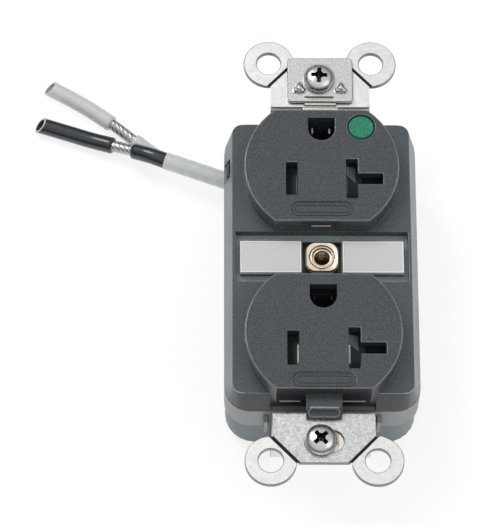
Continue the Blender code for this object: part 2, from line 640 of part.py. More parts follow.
def line_bus(name, side, tee):
    """A brass bus with spring fingers on both sides of each blade, joined by a low rail along the device.

    A tee bus also holds a blade turned the other way, in the arm of the T.
    """
    z0, plate, top, thick = 12.6, 0.8, 18.2, 0.7
    slots = [centre_y + BLADE_DY for _, centre_y, _ in outlets()]
    rail = sorted((side * 10.2, side * 11.0))
    bus = place(name, block(*rail, min(slots) - 3.6, max(slots) + 3.6, z0, 14.0), "brass")
    for y in slots:
        x0, x1 = sorted((side * 4.7, side * (12.3 if tee else 10.6)))
        add(bus, block(x0, x1, y - 3.5, y + 3.5, z0 + 0.05, z0 + plate))
        for inner in (4.72, 7.25):
            f0, f1 = sorted((side * inner, side * (inner + thick)))
            add(bus, block(f0, f1, y - 3.3, y + 3.3, z0 + 0.3, top))
        if tee:
            cut(bus, block(side * 6.5, side * 8.5, y - 1.0, y + 1.0, z0 + plate, top + 1))
            for sy in (-1, 1):
                y0, y1 = sorted((y + sy * 1.0, y + sy * 1.6))
                add(bus, block(side * 8.4, side * 12.2, y0, y1, z0 + 0.35, top - 0.4))
    return bus


def ground_bus():
    """The strip that bonds both ground contacts to the strap and the centre bushing."""
    z0, z1 = 6.0, 6.8
    bus = place("ground_bus", block(-4.6, 4.6, -15.5, 30.0, z0, z1), "brass")
    for _, centre_y, _ in outlets():
        y = centre_y + GROUND_DY
        for side in (-1, 1):
            x0, x1 = sorted((side * 2.3, side * 3.0))
            add(bus, block(x0, x1, y - 2.0, min(y + 2.0, 29.8), z0 + 0.3, 18.0))
    cut(bus, prism(circle((0, 0), 2.9, 24), z0 - 1, z1 + 1))
    for y in RIVETS:
        cut(bus, prism(circle((0, y), 1.75, 20), z0 - 1, z1 + 1))


def strap_rivets():
    for name, y in zip(("lower", "upper"), RIVETS):
        profile = [(1.45, 0.25), (1.45, 7.1), (2.3, 7.1), (2.3, 7.5), (1.3, 8.0)]
        place(f"strap_rivet_{name}", turned(profile, (0, y), 18), "zinc_steel")


def lead_terminals():
    """Crimp barrels inside the back body, one for each lead."""
    for name, y in (("black", 26.6), ("white", 29.2)):
        x0, x1, z = -14.6, -8.6, 8.6
        place(f"lead_terminal_{name}", across_x(circle((y, z), 1.15, 14), x0, x1), "brass")


# ---------------------------------------------------------------- leads

def lead_sleeve():
    """The oval white sleeve round both leads where they leave the back body, one lead leaning over the other."""
    along = (SLEEVE_END - SLEEVE_START).normalized()
    level = along.cross(Vector((0, 0, 1))).normalized()
    upright = level.cross(along).normalized()
    if level.y > 0:
        level = -level
    tall = math.cos(SLEEVE_LEAN) * upright + math.sin(SLEEVE_LEAN) * level
    wide = along.cross(tall)
    oval = arc((0, LEAD_LIFT - 0.2), SLEEVE_R, 0, math.pi, 8)
    oval += arc((0, -LEAD_LIFT + 0.2), SLEEVE_R, math.pi, 2 * math.pi, 8)
    mesh = bmesh.new()
    rings = [
        [mesh.verts.new((end + wide * a + tall * b) * MM) for a, b in oval]
        for end in (SLEEVE_START, SLEEVE_END)
    ]
    close_rings(mesh, *rings)
    place("lead_sleeve", mesh, "lead_white")


def lead(colour, route, strip_x):
    """One stripped lead: insulation, bare strands, and the slug of insulation left on its tip."""
    points = smooth_route(route)
    bare_start, bare_end = strip_x
    near = [p for p in points if p.x > bare_start + 1] + [at_x(points, bare_start)]
    bare = [at_x(points, bare_start - GAP), at_x(points, (bare_start + bare_end) / 2), at_x(points, bare_end + GAP)]
    slug = [at_x(points, bare_end)] + [p for p in points if p.x < bare_end - 1]
    tube(f"lead_{colour}", near, LEAD_R, f"lead_{colour}")
    tube(f"lead_{colour}_strands", bare, STRAND_R, "copper")
    tube(f"lead_{colour}_slug", slug, LEAD_R, f"lead_{colour}")


def at_x(points, x):
    """The point of a polyline, running to -X, where it crosses that x."""
    for a, b in zip(points, points[1:]):
        if b.x <= x <= a.x:
            return a.lerp(b, (a.x - x) / (a.x - b.x))
    return points[-1]


def main():
    clear_scene()
    front_cover()
    green_dot()
    labels()
    centre_bushing()
    middle_housing()
    back_body()
    assembly_screws()
    mounting_strap()
    ground_clip()
    mounting_screws()
    for name, centre_y, face_y in outlets():
        shutter_tray(name, centre_y, face_y)
        shutters(name, centre_y)
        shutter_spring(name, centre_y)
    line_bus("hot_bus", -1, False)
    line_bus("neutral_bus", 1, True)
    ground_bus()
    strap_rivets()
    lead_terminals()
    lead_sleeve()
    lead("black", BLACK_ROUTE, BLACK_STRIP_X)
    lead("white", WHITE_ROUTE, WHITE_STRIP_X)


main()
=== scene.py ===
"""A 20 A duplex receptacle with stripped leads, lying on its back on a light table.

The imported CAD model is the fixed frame. Each visible CAD piece gets a finished piece in its place: the same
solid with its edges rounded, or a finer shape of the same size. Lengths are millimetres in the CAD's own
frame unless a comment says otherwise, and MM turns them into metres.
"""

import math

import bmesh
import bpy
from mathutils import Matrix, Vector
from mathutils.bvhtree import BVHTree
from mathutils.geometry import intersect_point_line


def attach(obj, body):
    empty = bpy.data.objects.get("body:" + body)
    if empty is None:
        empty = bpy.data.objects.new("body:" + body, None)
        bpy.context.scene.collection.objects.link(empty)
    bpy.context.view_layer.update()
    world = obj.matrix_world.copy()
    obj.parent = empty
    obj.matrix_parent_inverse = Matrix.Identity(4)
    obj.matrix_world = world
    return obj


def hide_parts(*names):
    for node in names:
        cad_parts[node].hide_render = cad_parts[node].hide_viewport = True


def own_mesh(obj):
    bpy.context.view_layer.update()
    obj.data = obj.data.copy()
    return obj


MM = 0.001
TAU = 2 * math.pi

# Camera, fitted to the device's known sizes: place in metres, turns about X, Y and Z in degrees, lens
CAMERA_AT = (-0.026157, -0.318102, 0.708772)
CAMERA_TILT = (24.891, -0.838, 0.205)
CAMERA_LENS = 258.03

# Light: how strongly the floor and the tent glow, and the softboxes' watts
FLOOR_GLOW, TENT_STRENGTH, KEY_POWER, FILL_POWER = 0.76, 0.88, 4.4, 1.4

# Shared with the CAD
FACE_Z, COVER_Z = 31.2, 26.2
OUTLET_Y = 19.45
BLADE_DY, GROUND_DY = -3.55, 8.35
BADGE_DY, BADGE_HALF_X, BADGE_R, BADGE_DEPTH = -10.6, 6.65, 1.75, 0.2
DOT_AT, DOT_R = (8.47, 28.14), 2.65
LABEL_X, LABEL_HALF_X, LABEL_HALF_Y = 10.78, 6.42, 3.62
BUSHING_Z = 22.4
SCREW_Y, SCREW_L, HEAD_R, SHANK_R = 41.67, 9.5, 3.4, 1.75
SCREWS = {"top": (-0.25, SCREW_Y, 27.3), "bottom": (-0.7, -SCREW_Y, 26.3)}  # where each head sits
SCREW_TURNS = {"top": math.radians(-3), "bottom": math.radians(42)}  # how the recesses lie
THREAD_PITCH = 0.794
STRAP_TOP_Z, SCORE_LINE = 26.0, ((5.2, 46.55), (11.25, 40.25))
CLIP_TOP_Z = 27.0
LANCE_X, LANCE_Y = 4.45, 39.5
SHUTTER_TOP_Z, SHUTTER_CREST_X, SHUTTER_FALL = 28.3, 5.1, 1.6 / 3.7
SPRING_HALF_X, SPRING_DY, SPRING_Z, SPRING_R, SPRING_WIRE, SPRING_TURNS = 7.0, 6.6, 27.1, 0.8, 0.15, 6
LEAD_R, STRAND_R, SLEEVE_R = 1.8, 1.25, 1.95
LEAD_LIFT = 1.92  # half the spacing of the two leads in their sleeve
SLEEVE_START, SLEEVE_END = Vector((-20.15, 28.8, 3.78)), Vector((-33.0, 33.5, 3.78))
SLEEVE_LEAN = math.radians(25)  # how far from upright the black lead lies over the white one
BLACK_ROUTE = [
    (-33.88, 32.96, 5.52), (-36.6, 34.1, 5.34), (-40.3, 35.8, 4.12), (-44.7, 37.6, 2.88),
    (-49.5, 39.3, 2.1), (-55.0, 41.2, 1.9), (-61.4, 43.3, 1.88),
]
BLACK_STRIP_X = (-40.3, -44.9)
WHITE_ROUTE = [
    (-33.32, 34.49, 2.04), (-35.7, 35.6, 1.97), (-39.9, 39.05, 1.9), (-45.4, 43.6, 1.88),
    (-52.0, 48.25, 1.88), (-59.4, 52.6, 1.88),
]
WHITE_STRIP_X = (-40.2, -45.3)

# The openings in the faces, a little larger than they are, so that their walls lie within
SLOT_X, SLOT_REACH_X, HOT_REACH_Y, NEUTRAL_REACH_Y, ARM_END_X = 6.35, 1.4, 3.95, 4.75, 13.05
GROUND_REACH_X, GROUND_BELOW, GROUND_ABOVE = 3.0, 3.0, 2.7

# Where the cover's surfaces with painted light, shade and reflection begin
SIDE_X, END_Y, POCKET_HALF_Y = 18.4, -29.0, 5.7
NOTCH_X, NOTCH_Y, NOTCH_Z = -18.9, (19.3, 24.2), (20.5, 24.8)
LEVEL = 0.97  # a face whose normal's Z is above this counts as level

# The rounded edges
ROUNDING_SLOT = 1  # their material slot
ROOM_PER_WIDTH = 2.4  # an edge shorter than this many widths gets a narrower rounding
NARROWING, NARROWINGS, ATTEMPTS = 0.4, 3, 6  # where roundings cross: how much narrower, how often, then none
BLEND_ROUNDING, BLEND_FACE = math.cos(math.radians(60)), math.cos(math.radians(30))

# The leads' detail
SLEEVE_INSIDE, SLEEVE_PLAY = 1.5, 0.035  # how far the sleeve runs into the housing, and its gap round a lead
LEAD_AROUND = 48  # points in each ring
STRAND_LOBES, STRAND_GROOVE, STRAND_TWIST = 12, 0.16, 0.42  # the twist is radians a millimetre
TIP_SLANT = 0.62  # how far the cut end leans, for each millimetre of its height
INSULATION, STRANDS, HOLLOW, CUT_END = range(4)  # material slots


# ---------------------------------------------------------------- materials

class Nodes:
    """Builds one material's node tree around its Principled shader."""

    def __init__(self, name, colour, roughness, metallic=0.0, **sockets):
        self.material = bpy.data.materials.new(name)
        self.material.use_nodes = True
        self.tree = self.material.node_tree
        self.shader = self.tree.nodes["Principled BSDF"]
        self.colour = (*colour, 1.0)
        self.set("Base Color", self.colour)
        self.set("Roughness", roughness)
        self.set("Metallic", metallic)
        for socket, value in sockets.items():
            self.set(socket.replace("_", " "), value)
        self.where = self.tree.nodes.new("ShaderNodeTexCoord").outputs["Object"]
        self.height = None

    def set(self, socket, value):
        self.shader.inputs[socket].default_value = value

    def link(self, source, target):
        self.tree.links.new(source, target)

    def node(self, kind):
        return self.tree.nodes.new(f"ShaderNode{kind}")

    def stretched(self, scale):
        mapping = self.node("Mapping")
        mapping.inputs["Scale"].default_value = scale
        self.link(self.where, mapping.inputs["Vector"])
        return mapping.outputs["Vector"]

    def noise(self, feature_mm, detail=3.0, roughness=0.55, stretch=(1, 1, 1)):
        made = self.node("TexNoise")
        made.inputs["Scale"].default_value = 1 / (feature_mm * MM)
        made.inputs["Detail"].default_value = detail
        made.inputs["Roughness"].default_value = roughness
        self.link(self.stretched(stretch), made.inputs["Vector"])
        return made.outputs["Fac"]

    def spread(self, value, low, high):
        """Stretches the middle of a noise's range over low to high."""
        made = self.node("MapRange")
        limits = {"From Min": 0.35, "From Max": 0.65, "To Min": low, "To Max": high}
        for socket, number in limits.items():
            made.inputs[socket].default_value = number
        self.link(value, made.inputs["Value"])
        return made.outputs["Result"]

    def tint(self, value, low, high):
        """Mixes the base colour between two multiples of itself."""
        ramp = self.node("ValToRGB")
        ramp.color_ramp.elements[0].position = 0.3
        ramp.color_ramp.elements[1].position = 0.7
        for element, share in zip(ramp.color_ramp.elements, (low, high)):
            element.color = (*[c * share for c in self.colour[:3]], 1.0)
        self.link(value, ramp.inputs["Fac"])
        self.link(ramp.outputs["Color"], self.shader.inputs["Base Color"])

    def rough(self, value, low, high):
        self.link(self.spread(value, low, high), self.shader.inputs["Roughness"])

    def bump(self, value, depth_mm):
        made = self.node("Bump")
        made.inputs["Strength"].default_value = 1.0
        made.inputs["Distance"].default_value = depth_mm * MM
        self.link(value, made.inputs["Height"])
        if self.height:
            self.link(self.height, made.inputs["Normal"])
        self.height = made.outputs["Normal"]
        self.link(self.height, self.shader.inputs["Normal"])


def moulded(name, colour, roughness, grain_mm=0.35, grain=0.02, mottle=0.10, detail=2.0, **sockets):
    """Moulded plastic: a fine spark-eroded grain, slow flow marks and slightly uneven gloss."""
    nodes = Nodes(name, colour, roughness, **sockets)
    flow = nodes.noise(6.0, 2.0, stretch=(1, 0.5, 1))
    speck = nodes.noise(grain_mm, detail, 0.7)
    nodes.tint(speck, 1 - mottle, 1 + mottle)
    nodes.rough(flow, roughness - 0.04, roughness + 0.05)
    nodes.bump(speck, grain)
    nodes.bump(flow, 0.01)
    return nodes.material


def plated(name, colour, roughness, spangle_mm=0.8, grain=0.006, mottle=0.08):
    """Zinc-plated sheet: a mottled bright surface with fine rolling lines."""
    nodes = Nodes(name, colour, roughness, 1.0)
    spangle = nodes.noise(spangle_mm, 4.0, 0.7)
    lines = nodes.noise(0.5, 3.0, 0.6, stretch=(1, 0.06, 1))
    nodes.tint(spangle, 1 - mottle, 1 + mottle)
    nodes.rough(spangle, roughness - 0.06, roughness + 0.08)
    nodes.bump(nodes.noise(0.3, 2.0, 0.7), grain)
    nodes.bump(lines, grain * 0.5)
    return nodes.material


def machined(name, colour, roughness, mottle=0.10):
    """Turned or stamped metal: brighter than plating, with small tool marks."""
    nodes = Nodes(name, colour, roughness, 1.0)
    marks = nodes.noise(0.4, 4.0, 0.7)
    nodes.tint(marks, 1 - mottle, 1 + mottle)
    nodes.rough(marks, roughness - 0.06, roughness + 0.12)
    nodes.bump(marks, 0.008)
    return nodes.material


def insulation(name, colour, roughness, mottle=0.05):
    """Extruded wire insulation: smooth, with faint draw lines and scuffs."""
    nodes = Nodes(name, colour, roughness, Coat_Weight=0.7, Coat_Roughness=0.07)
    scuffs = nodes.noise(1.2, 4.0, 0.6)
    nodes.tint(scuffs, 1 - mottle, 1 + mottle)
    nodes.rough(scuffs, roughness - 0.05, roughness + 0.1)
    nodes.bump(nodes.noise(0.6, 2.0), 0.015)
    return nodes.material


def make_materials():
    spark_eroded = {"grain_mm": 0.22, "grain": 0.02, "detail": 1.0}
    rubbed = {"grain_mm": 0.5, "grain": 0.01}
    return {
        "cover": moulded("cover_nylon", (0.062, 0.070, 0.077), 0.24, mottle=0.75, **spark_eroded),
        # The pocket floor: the cover nylon painted much lighter, as painted light where its walls would shade
        # it
        "pocket": moulded("cover_pocket", (0.27, 0.30, 0.305), 0.3, mottle=0.6, **spark_eroded),
        # Painted highlight: a lighter copy of the cover nylon for its rounded edges and rims
        "cover_edge": moulded("cover_edge", (0.17, 0.18, 0.185), 0.18, mottle=0.3, **rubbed),
        # The margins: the cover nylon painted lighter and bluer, as painted light where the raised faces
        # would shade them
        "margin": moulded("cover_margin", (0.078, 0.092, 0.102), 0.24, mottle=0.6, **spark_eroded),
        # The side walls: painted lighter and bluer, as the painted reflection of the bright floor
        "side": moulded("cover_side", (0.085, 0.115, 0.135), 0.24, mottle=0.4, **spark_eroded),
        # The end walls: the nylon painted darker, as painted shade on walls that face away from the light
        "end": moulded("cover_end", (0.040, 0.043, 0.047), 0.34, mottle=0.6, **spark_eroded),
        # Painted highlight for the bright lines along the cover's edges and on the upper ground contacts
        "glint": moulded("cover_edge_highlight", (0.50, 0.51, 0.52), 0.2, mottle=0.2, **rubbed),
        # Painted highlight on the lower shutters' crests
        "crest_highlight": moulded("shutter_crest_highlight", (0.88, 0.89, 0.88), 0.25, mottle=0.1, **rubbed),
        # Painted shade: the cover nylon made darker inside the slots and holes, in the side notch and on its
        # latch
        "inside": moulded("cover_inside", (0.042, 0.053, 0.058), 0.5, mottle=0.2),
        "stamped": plated("zinc_stamped", (0.63, 0.635, 0.62), 0.34, 0.6, mottle=0.3),
        # Painted shade along the rounded edges of the housing and back body, which draws the seam between
        # them
        "housing_edge": moulded("housing_edge", (0.16, 0.175, 0.17), 0.4, mottle=0.2),
        "body_edge": moulded("body_edge", (0.07, 0.09, 0.1), 0.4, mottle=0.2),
        # Painted shade: a dark grey for the rounded edges of the strap and clip, drawing dark outlines
        "edge_shade": machined("edge_painted_shade", (0.26, 0.26, 0.25), 0.35, 0.12),
        # Painted shade: brass darkened for a groove and the threaded hole of the bushing
        "brass_shade": machined("brass_painted_shade", (0.26, 0.17, 0.10), 0.22, 0.2),
        "cut_end": moulded("cut_insulation", (0.55, 0.58, 0.59), 0.5, 0.3, 0.02, 0.2),
        "housing": moulded("housing_plastic", (0.27, 0.29, 0.285), 0.42, mottle=0.22),
        "body": moulded("body_plastic", (0.13, 0.165, 0.178), 0.40, mottle=0.25),
        "zinc": plated("zinc_strap", (0.80, 0.80, 0.775), 0.36),
        "clip": plated("zinc_clip", (0.64, 0.64, 0.62), 0.30, 0.5, mottle=0.16),
        # Painted shade: a dark grey for the score grooves, the strap's creases and the clip's folds
        "score": machined("steel_groove_shade", (0.11, 0.11, 0.105), 0.5),
        "screw": machined("screw_steel", (0.61, 0.62, 0.62), 0.23, 0.14),
        # Painted shade: a dark finish for the screws' recesses, a groove in the bushing and the lower ground
        # contacts' ends
        "recess": machined("screw_recess", (0.06, 0.062, 0.065), 0.42),
        "brass": machined("brass", (0.92, 0.80, 0.62), 0.2, 0.14),
        # The contacts' brass, also used as a painted highlight down the bushing's hole
        "contact": machined("contact_brass_and_glint", (0.72, 0.69, 0.62), 0.2),
        "spring": machined("spring_wire", (0.55, 0.55, 0.55), 0.3),
        "label": moulded("label_blank", (0.71, 0.685, 0.69), 0.5, 0.5, 0.004, 0.04),
        "holder": moulded("label_frame", (0.93, 0.93, 0.92), 0.25, 0.6, 0.004, 0.03),
        "dot": moulded("dot_green", (0.010, 0.245, 0.125), 0.3, 0.4, 0.012, 0.28),
        # The shutters' plastic, made dark as painted shade deep in the slots
        "shutter": moulded(
            "shutter_plastic", (0.034, 0.044, 0.048), 0.55, mottle=0.2, Specular_IOR_Level=0.2
        ),
        # Painted light: a pale patch where light falls on the neutral shutter's slope
        "ramp": moulded("shutter_ramp_painted_light", (0.20, 0.225, 0.215), 0.4, mottle=0.15),
        "tray": moulded("tray_plastic", (0.038, 0.046, 0.050), 0.5, mottle=0.2),
        "black": insulation("black_insulation", (0.009, 0.016, 0.020), 0.24, 0.12),
        "white": insulation("white_insulation", (0.66, 0.665, 0.67), 0.35),
        "sleeve": insulation("sleeve_white", (0.69, 0.715, 0.72), 0.4, 0.06),
        "strands": machined("tinned_strands", (0.47, 0.49, 0.47), 0.22, 0.25),
        "hollow_black": moulded("black_lead_hollow", (0.01, 0.01, 0.01), 0.7, mottle=0.1),
        # The white lead's open end, painted darker than its insulation as painted shade inside it
        "hollow_white": moulded("white_lead_hollow", (0.30, 0.31, 0.31), 0.7, mottle=0.2),
    }


# ---------------------------------------------------------------- shapes

def level(outline, z):
    """An (x, y) outline as points at one height."""
    return [(x, y, z) for x, y in outline]


def arc(centre, radius, start, end, steps):
    """Points from one angle to another, both included."""
    return [
        (centre[0] + radius * math.cos(a), centre[1] + radius * math.sin(a))
        for a in (start + (end - start) * i / steps for i in range(steps + 1))
    ]


def racetrack(centre, half_x, radius, steps=16):
    x, y = centre
    right = arc((x + half_x - radius, y), radius, -math.pi / 2, math.pi / 2, steps)
    left = arc((x - half_x + radius, y), radius, math.pi / 2, 3 * math.pi / 2, steps)
    return right + left


def rounded_square(half, radius, steps):
    """A square with that many points on each side, to join a circle of four times as many."""
    points = []
    for quarter in range(4):
        turn = quarter * math.pi / 2
        for i in range(steps):
            angle = math.pi / 2 * (i + 0.5) / steps - math.pi / 4
            reach = half - radius
            x, y = half, half * math.tan(angle)
            if abs(y) > reach:  # in a corner: where the ray meets the corner's own circle
                ray = Vector((math.cos(angle), math.sin(angle)))
                hub = Vector((reach, math.copysign(reach, angle)))
                along = ray.dot(hub)
                x, y = ray * (along + math.sqrt(max(0.0, along**2 - hub.dot(hub) + radius**2)))
            points.append((x * math.cos(turn) - y * math.sin(turn), x * math.sin(turn) + y * math.cos(turn)))
    return points


def skin(rings, loop=False, mesh=None):
    """Adds a closed surface through rings of millimetre points, with the same count in each, to a mesh.

    A loop's last ring joins its first. Anything else is capped at both ends.
    """
    mesh = mesh or bmesh.new()
    made = [[mesh.verts.new(Vector(p) * MM) for p in ring] for ring in rings]
    for a, b in zip(made, made[1:] + made[:1] if loop else made[1:]):
        for i in range(len(a)):
            j = (i + 1) % len(a)
            mesh.faces.new((a[i], a[j], b[j], b[i]))
    if not loop:
        mesh.faces.new(list(reversed(made[0])))
        mesh.faces.new(made[-1])
    mesh.normal_update()
    bmesh.ops.recalc_face_normals(mesh, faces=mesh.faces)
    return mesh


def circle(centre, radius, steps, turn=0.0):
    """That many points all the way round, without a repeat."""
    angles = [TAU * i / steps + turn for i in range(steps)]
    return [(centre[0] + radius * math.cos(a), centre[1] + radius * math.sin(a)) for a in angles]


def turned_rings(profile, steps, centre):
    """Rings of a shape turned about Z, from (radius, z) points."""
    return [level(circle(centre, r, steps), z) for r, z in profile]


def piece(name, mesh, finish, body="device", angle=35):
    """Makes an object from a bmesh, gives it its finish, and lets it ride on a CAD body."""
    data = bpy.data.meshes.new(name)
    mesh.to_mesh(data)
    mesh.free()
    data.materials.append(finish)
    data.shade_smooth()
    data.set_sharp_from_angle(angle=math.radians(angle))
    made = bpy.data.objects.new(name, data)
    bpy.context.scene.collection.objects.link(made)
    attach(made, body)
    return made


def rounded_copy(node, name, finish, width_mm, segments=2, body="device", angle=40, edges=None):
    """The CAD node's own solid with every sharp edge rounded to that width, shown in its place.

    edges is the finish of the roundings themselves, where it differs: a lighter one paints a highlight along
    them, a darker one paints shade along them.
    """
    mesh = bmesh.new()
    mesh.from_mesh(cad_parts[node].data)
    bmesh.ops.remove_doubles(mesh, verts=mesh.verts, dist=0.002 * MM)
    bmesh.ops.dissolve_limit(mesh, angle_limit=math.radians(1.0), verts=mesh.verts, edges=mesh.edges)
    bmesh.ops.recalc_face_normals(mesh, faces=mesh.faces)
    made = piece(name, mesh, finish, body, angle=180)
    round_edges(made, width_mm, segments, angle, edges)
    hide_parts(node)
    return made


def paint(made, finish, test):
    """Gives the faces whose centre (in mm) and normal pass the test another finish."""
    if finish.name not in [m.name for m in made.data.materials]:
        made.data.materials.append(finish)
    index = [m.name for m in made.data.materials].index(finish.name)
    for face in made.data.polygons:
        if test(face.center / MM, face.normal):
            face.material_index = index


def crossings(mesh):
    """The middle and half size of each place where a mesh's surface runs through itself."""
    mesh = mesh.copy()
    bmesh.ops.triangulate(mesh, faces=mesh.faces[:])
    mesh.faces.ensure_lookup_table()
    tree, found = BVHTree.FromBMesh(mesh), []
    for a, b in tree.overlap(tree):
        first, second = mesh.faces[a].verts, mesh.faces[b].verts
        if a < b and not set(first) & set(second):
            low = Vector([max(min(v.co[k] for v in first), min(v.co[k] for v in second)) for k in range(3)])
            high = Vector([min(max(v.co[k] for v in first), max(v.co[k] for v in second)) for k in range(3)])
            found.append(((low + high) / 2, (high - low).length / 2))
    mesh.free()
    return found


def off_edge(point, edge):
    """How far a point is from an edge."""
    start, end = (v.co for v in edge.verts)
    near, share = intersect_point_line(point, start, end)
    return (point - (start if share < 0 else end if share > 1 else near)).length


def shade_flats(made):
    """Shades each original face by its own normals, and lets the roundings blend between them."""
    data = made.data
    around = [[] for _ in data.vertices]
    for face in data.polygons:
        for corner in face.vertices:
            around[corner].append(face)
    normals = []
    for face in data.polygons:
        limit = BLEND_ROUNDING if face.material_index == ROUNDING_SLOT else BLEND_FACE
        for corner in face.vertices:
            flats = [other for other in around[corner] if other.material_index != ROUNDING_SLOT]
            near = [other for other in flats or around[corner] if other.normal.dot(face.normal) > limit]
            total = sum((other.normal * other.area for other in near), Vector())
            normals.append(total.normalized() if near else face.normal)
    data.shade_smooth()
    data.normals_split_custom_set(normals)


def freeze(made):
    """Applies a piece's modifiers to its mesh."""
    depsgraph = bpy.context.evaluated_depsgraph_get()
    shape = bpy.data.meshes.new_from_object(made.evaluated_get(depsgraph))
    made.modifiers.clear()
    made.data = shape


def round_edges(made, width_mm, segments, angle, edges):
    """Rounds a piece's sharp edges, and shades it so that flat faces stay flat right up to the rounding.

    Where the edges are close together the roundings get narrower, until none of them runs into another.
    """
    bevel = made.modifiers.new("edges", "BEVEL")
    bevel.width, bevel.segments = width_mm * MM, segments
    bevel.limit_method, bevel.use_clamp_overlap = "WEIGHT", False
    made.data.materials.append(edges or made.data.materials[0])
    bevel.material = ROUNDING_SLOT
    mesh = bmesh.new()
    mesh.from_mesh(made.data)
    share = mesh.edges.layers.float.new("bevel_weight_edge")
    for edge in mesh.edges:
        if len(edge.link_faces) == 2 and edge.calc_face_angle() > math.radians(angle):
            shortest = min(other.calc_length() for end in edge.verts for other in end.link_edges)
            edge[share] = min(1.0, shortest / (ROOM_PER_WIDTH * width_mm * MM))
    for attempt in range(ATTEMPTS):
        mesh.to_mesh(made.data)
        rounded = bmesh.new()
        rounded.from_object(made, bpy.context.evaluated_depsgraph_get())
        found = crossings(rounded)
        rounded.free()
        if not found:
            break
        for edge in mesh.edges:
            if edge[share] and any(off_edge(at, edge) < size + 2 * width_mm * MM for at, size in found):
                edge[share] = edge[share] * NARROWING if attempt < NARROWINGS else 0.0
    mesh.free()
    freeze(made)
    shade_flats(made)


def helical_thread(name, at, z0, z1, radius, depth, finish, body):
    """A threaded shank from z0 up to z1 as one closed surface whose radius follows the thread's helix."""
    around, rows_per_turn, root, flat_crest = 40, 10, 0.08, 1.25
    point_length, point_share = 0.9, 0.62
    count, rings = int((z1 - z0) / (THREAD_PITCH / rows_per_turn)), []
    for row in range(count + 1):
        z = z0 + (z1 - z0) * row / count
        taper = point_share + (1 - point_share) * min(1.0, (z - z0) / point_length)
        ring = []
        for i, (c, s) in enumerate(circle((0, 0), 1.0, around)):
            phase = (z / THREAD_PITCH - i / around) % 1.0
            crest = max(0.0, 1 - abs(phase - 0.5) / (0.5 - root))
            r = (radius - depth + depth * min(1.0, crest * flat_crest)) * taper
            ring.append((at[0] + r * c, at[1] + r * s, z))
        rings.append(ring)
    return piece(name, skin(rings), finish, body, angle=60)


# ---------------------------------------------------------------- housings and faces

def outlets():
    """Each outlet's name and the Y of its middle."""
    return (("upper", OUTLET_Y), ("lower", -OUTLET_Y))


def in_a_slot(at):
    """Whether a point is inside a blade slot or ground hole of either face."""
    for _, centre_y in outlets():
        off_ground, off_blades = at.y - centre_y - GROUND_DY, abs(at.y - centre_y - BLADE_DY)
        reach_y = HOT_REACH_Y if at.x < 0 else NEUTRAL_REACH_Y
        in_ground_hole = abs(at.x) < GROUND_REACH_X and -GROUND_BELOW < off_ground < GROUND_ABOVE
        in_blade_slot = abs(abs(at.x) - SLOT_X) < SLOT_REACH_X and off_blades < reach_y
        in_arm_of_t = SLOT_X < at.x < ARM_END_X and off_blades < SLOT_REACH_X
        if in_ground_hole or in_blade_slot or in_arm_of_t:
            return True
    return False


def tab_pad(finish):
    """The raised pad on the sloping end of the tab over the strap."""
    centre, down, out = Vector((0, -36.0, 27.56)), Vector((0, -0.77, -0.64)), Vector((0, -0.64, 0.77))
    half_x, radius, rings = 3.4, 1.12, []
    for inset, lift in ((0.0, -0.1), (0.0, 0.1), (0.08, 0.18), (0.2, 0.2), (0.38, 0.1)):
        outline = racetrack((0, 0), half_x - inset, radius - inset)
        rings.append([centre + Vector((x, 0, 0)) + down * y + out * lift for x, y in outline])
    pad = piece("tab_pad", skin(rings), finish["cover"], angle=50)
    # Painted highlight round the pad's rim
    paint(pad, finish["cover_edge"], lambda at, way: 0.11 < (at - centre).dot(out) < 0.195)


def latch(finish):
    """The latch that shows in the notch of the left side wall, dark with painted shade."""
    corner, rings = 0.25, []
    for inset, z in ((0.15, 20.02), (0.0, 20.2), (0.0, 22.9), (0.2, 23.2), (0.55, 23.25), (0.65, 22.8)):
        low, high, left, right = 20.05 + inset, 23.45 - inset, -20.05 + inset, -18.6 - inset
        outline = (
            (left + corner, low), (right - corner, low), (right, low + corner), (right, high - corner),
            (right - corner, high), (left + corner, high), (left, high - corner), (left, low + corner),
        )
        rings.append(level(outline, z))
    piece("side_latch", skin(rings), finish["inside"], angle=30)


def in_the_notch(at):
    return at.x < NOTCH_X and NOTCH_Y[0] < at.y < NOTCH_Y[1] and NOTCH_Z[0] < at.z < NOTCH_Z[1]


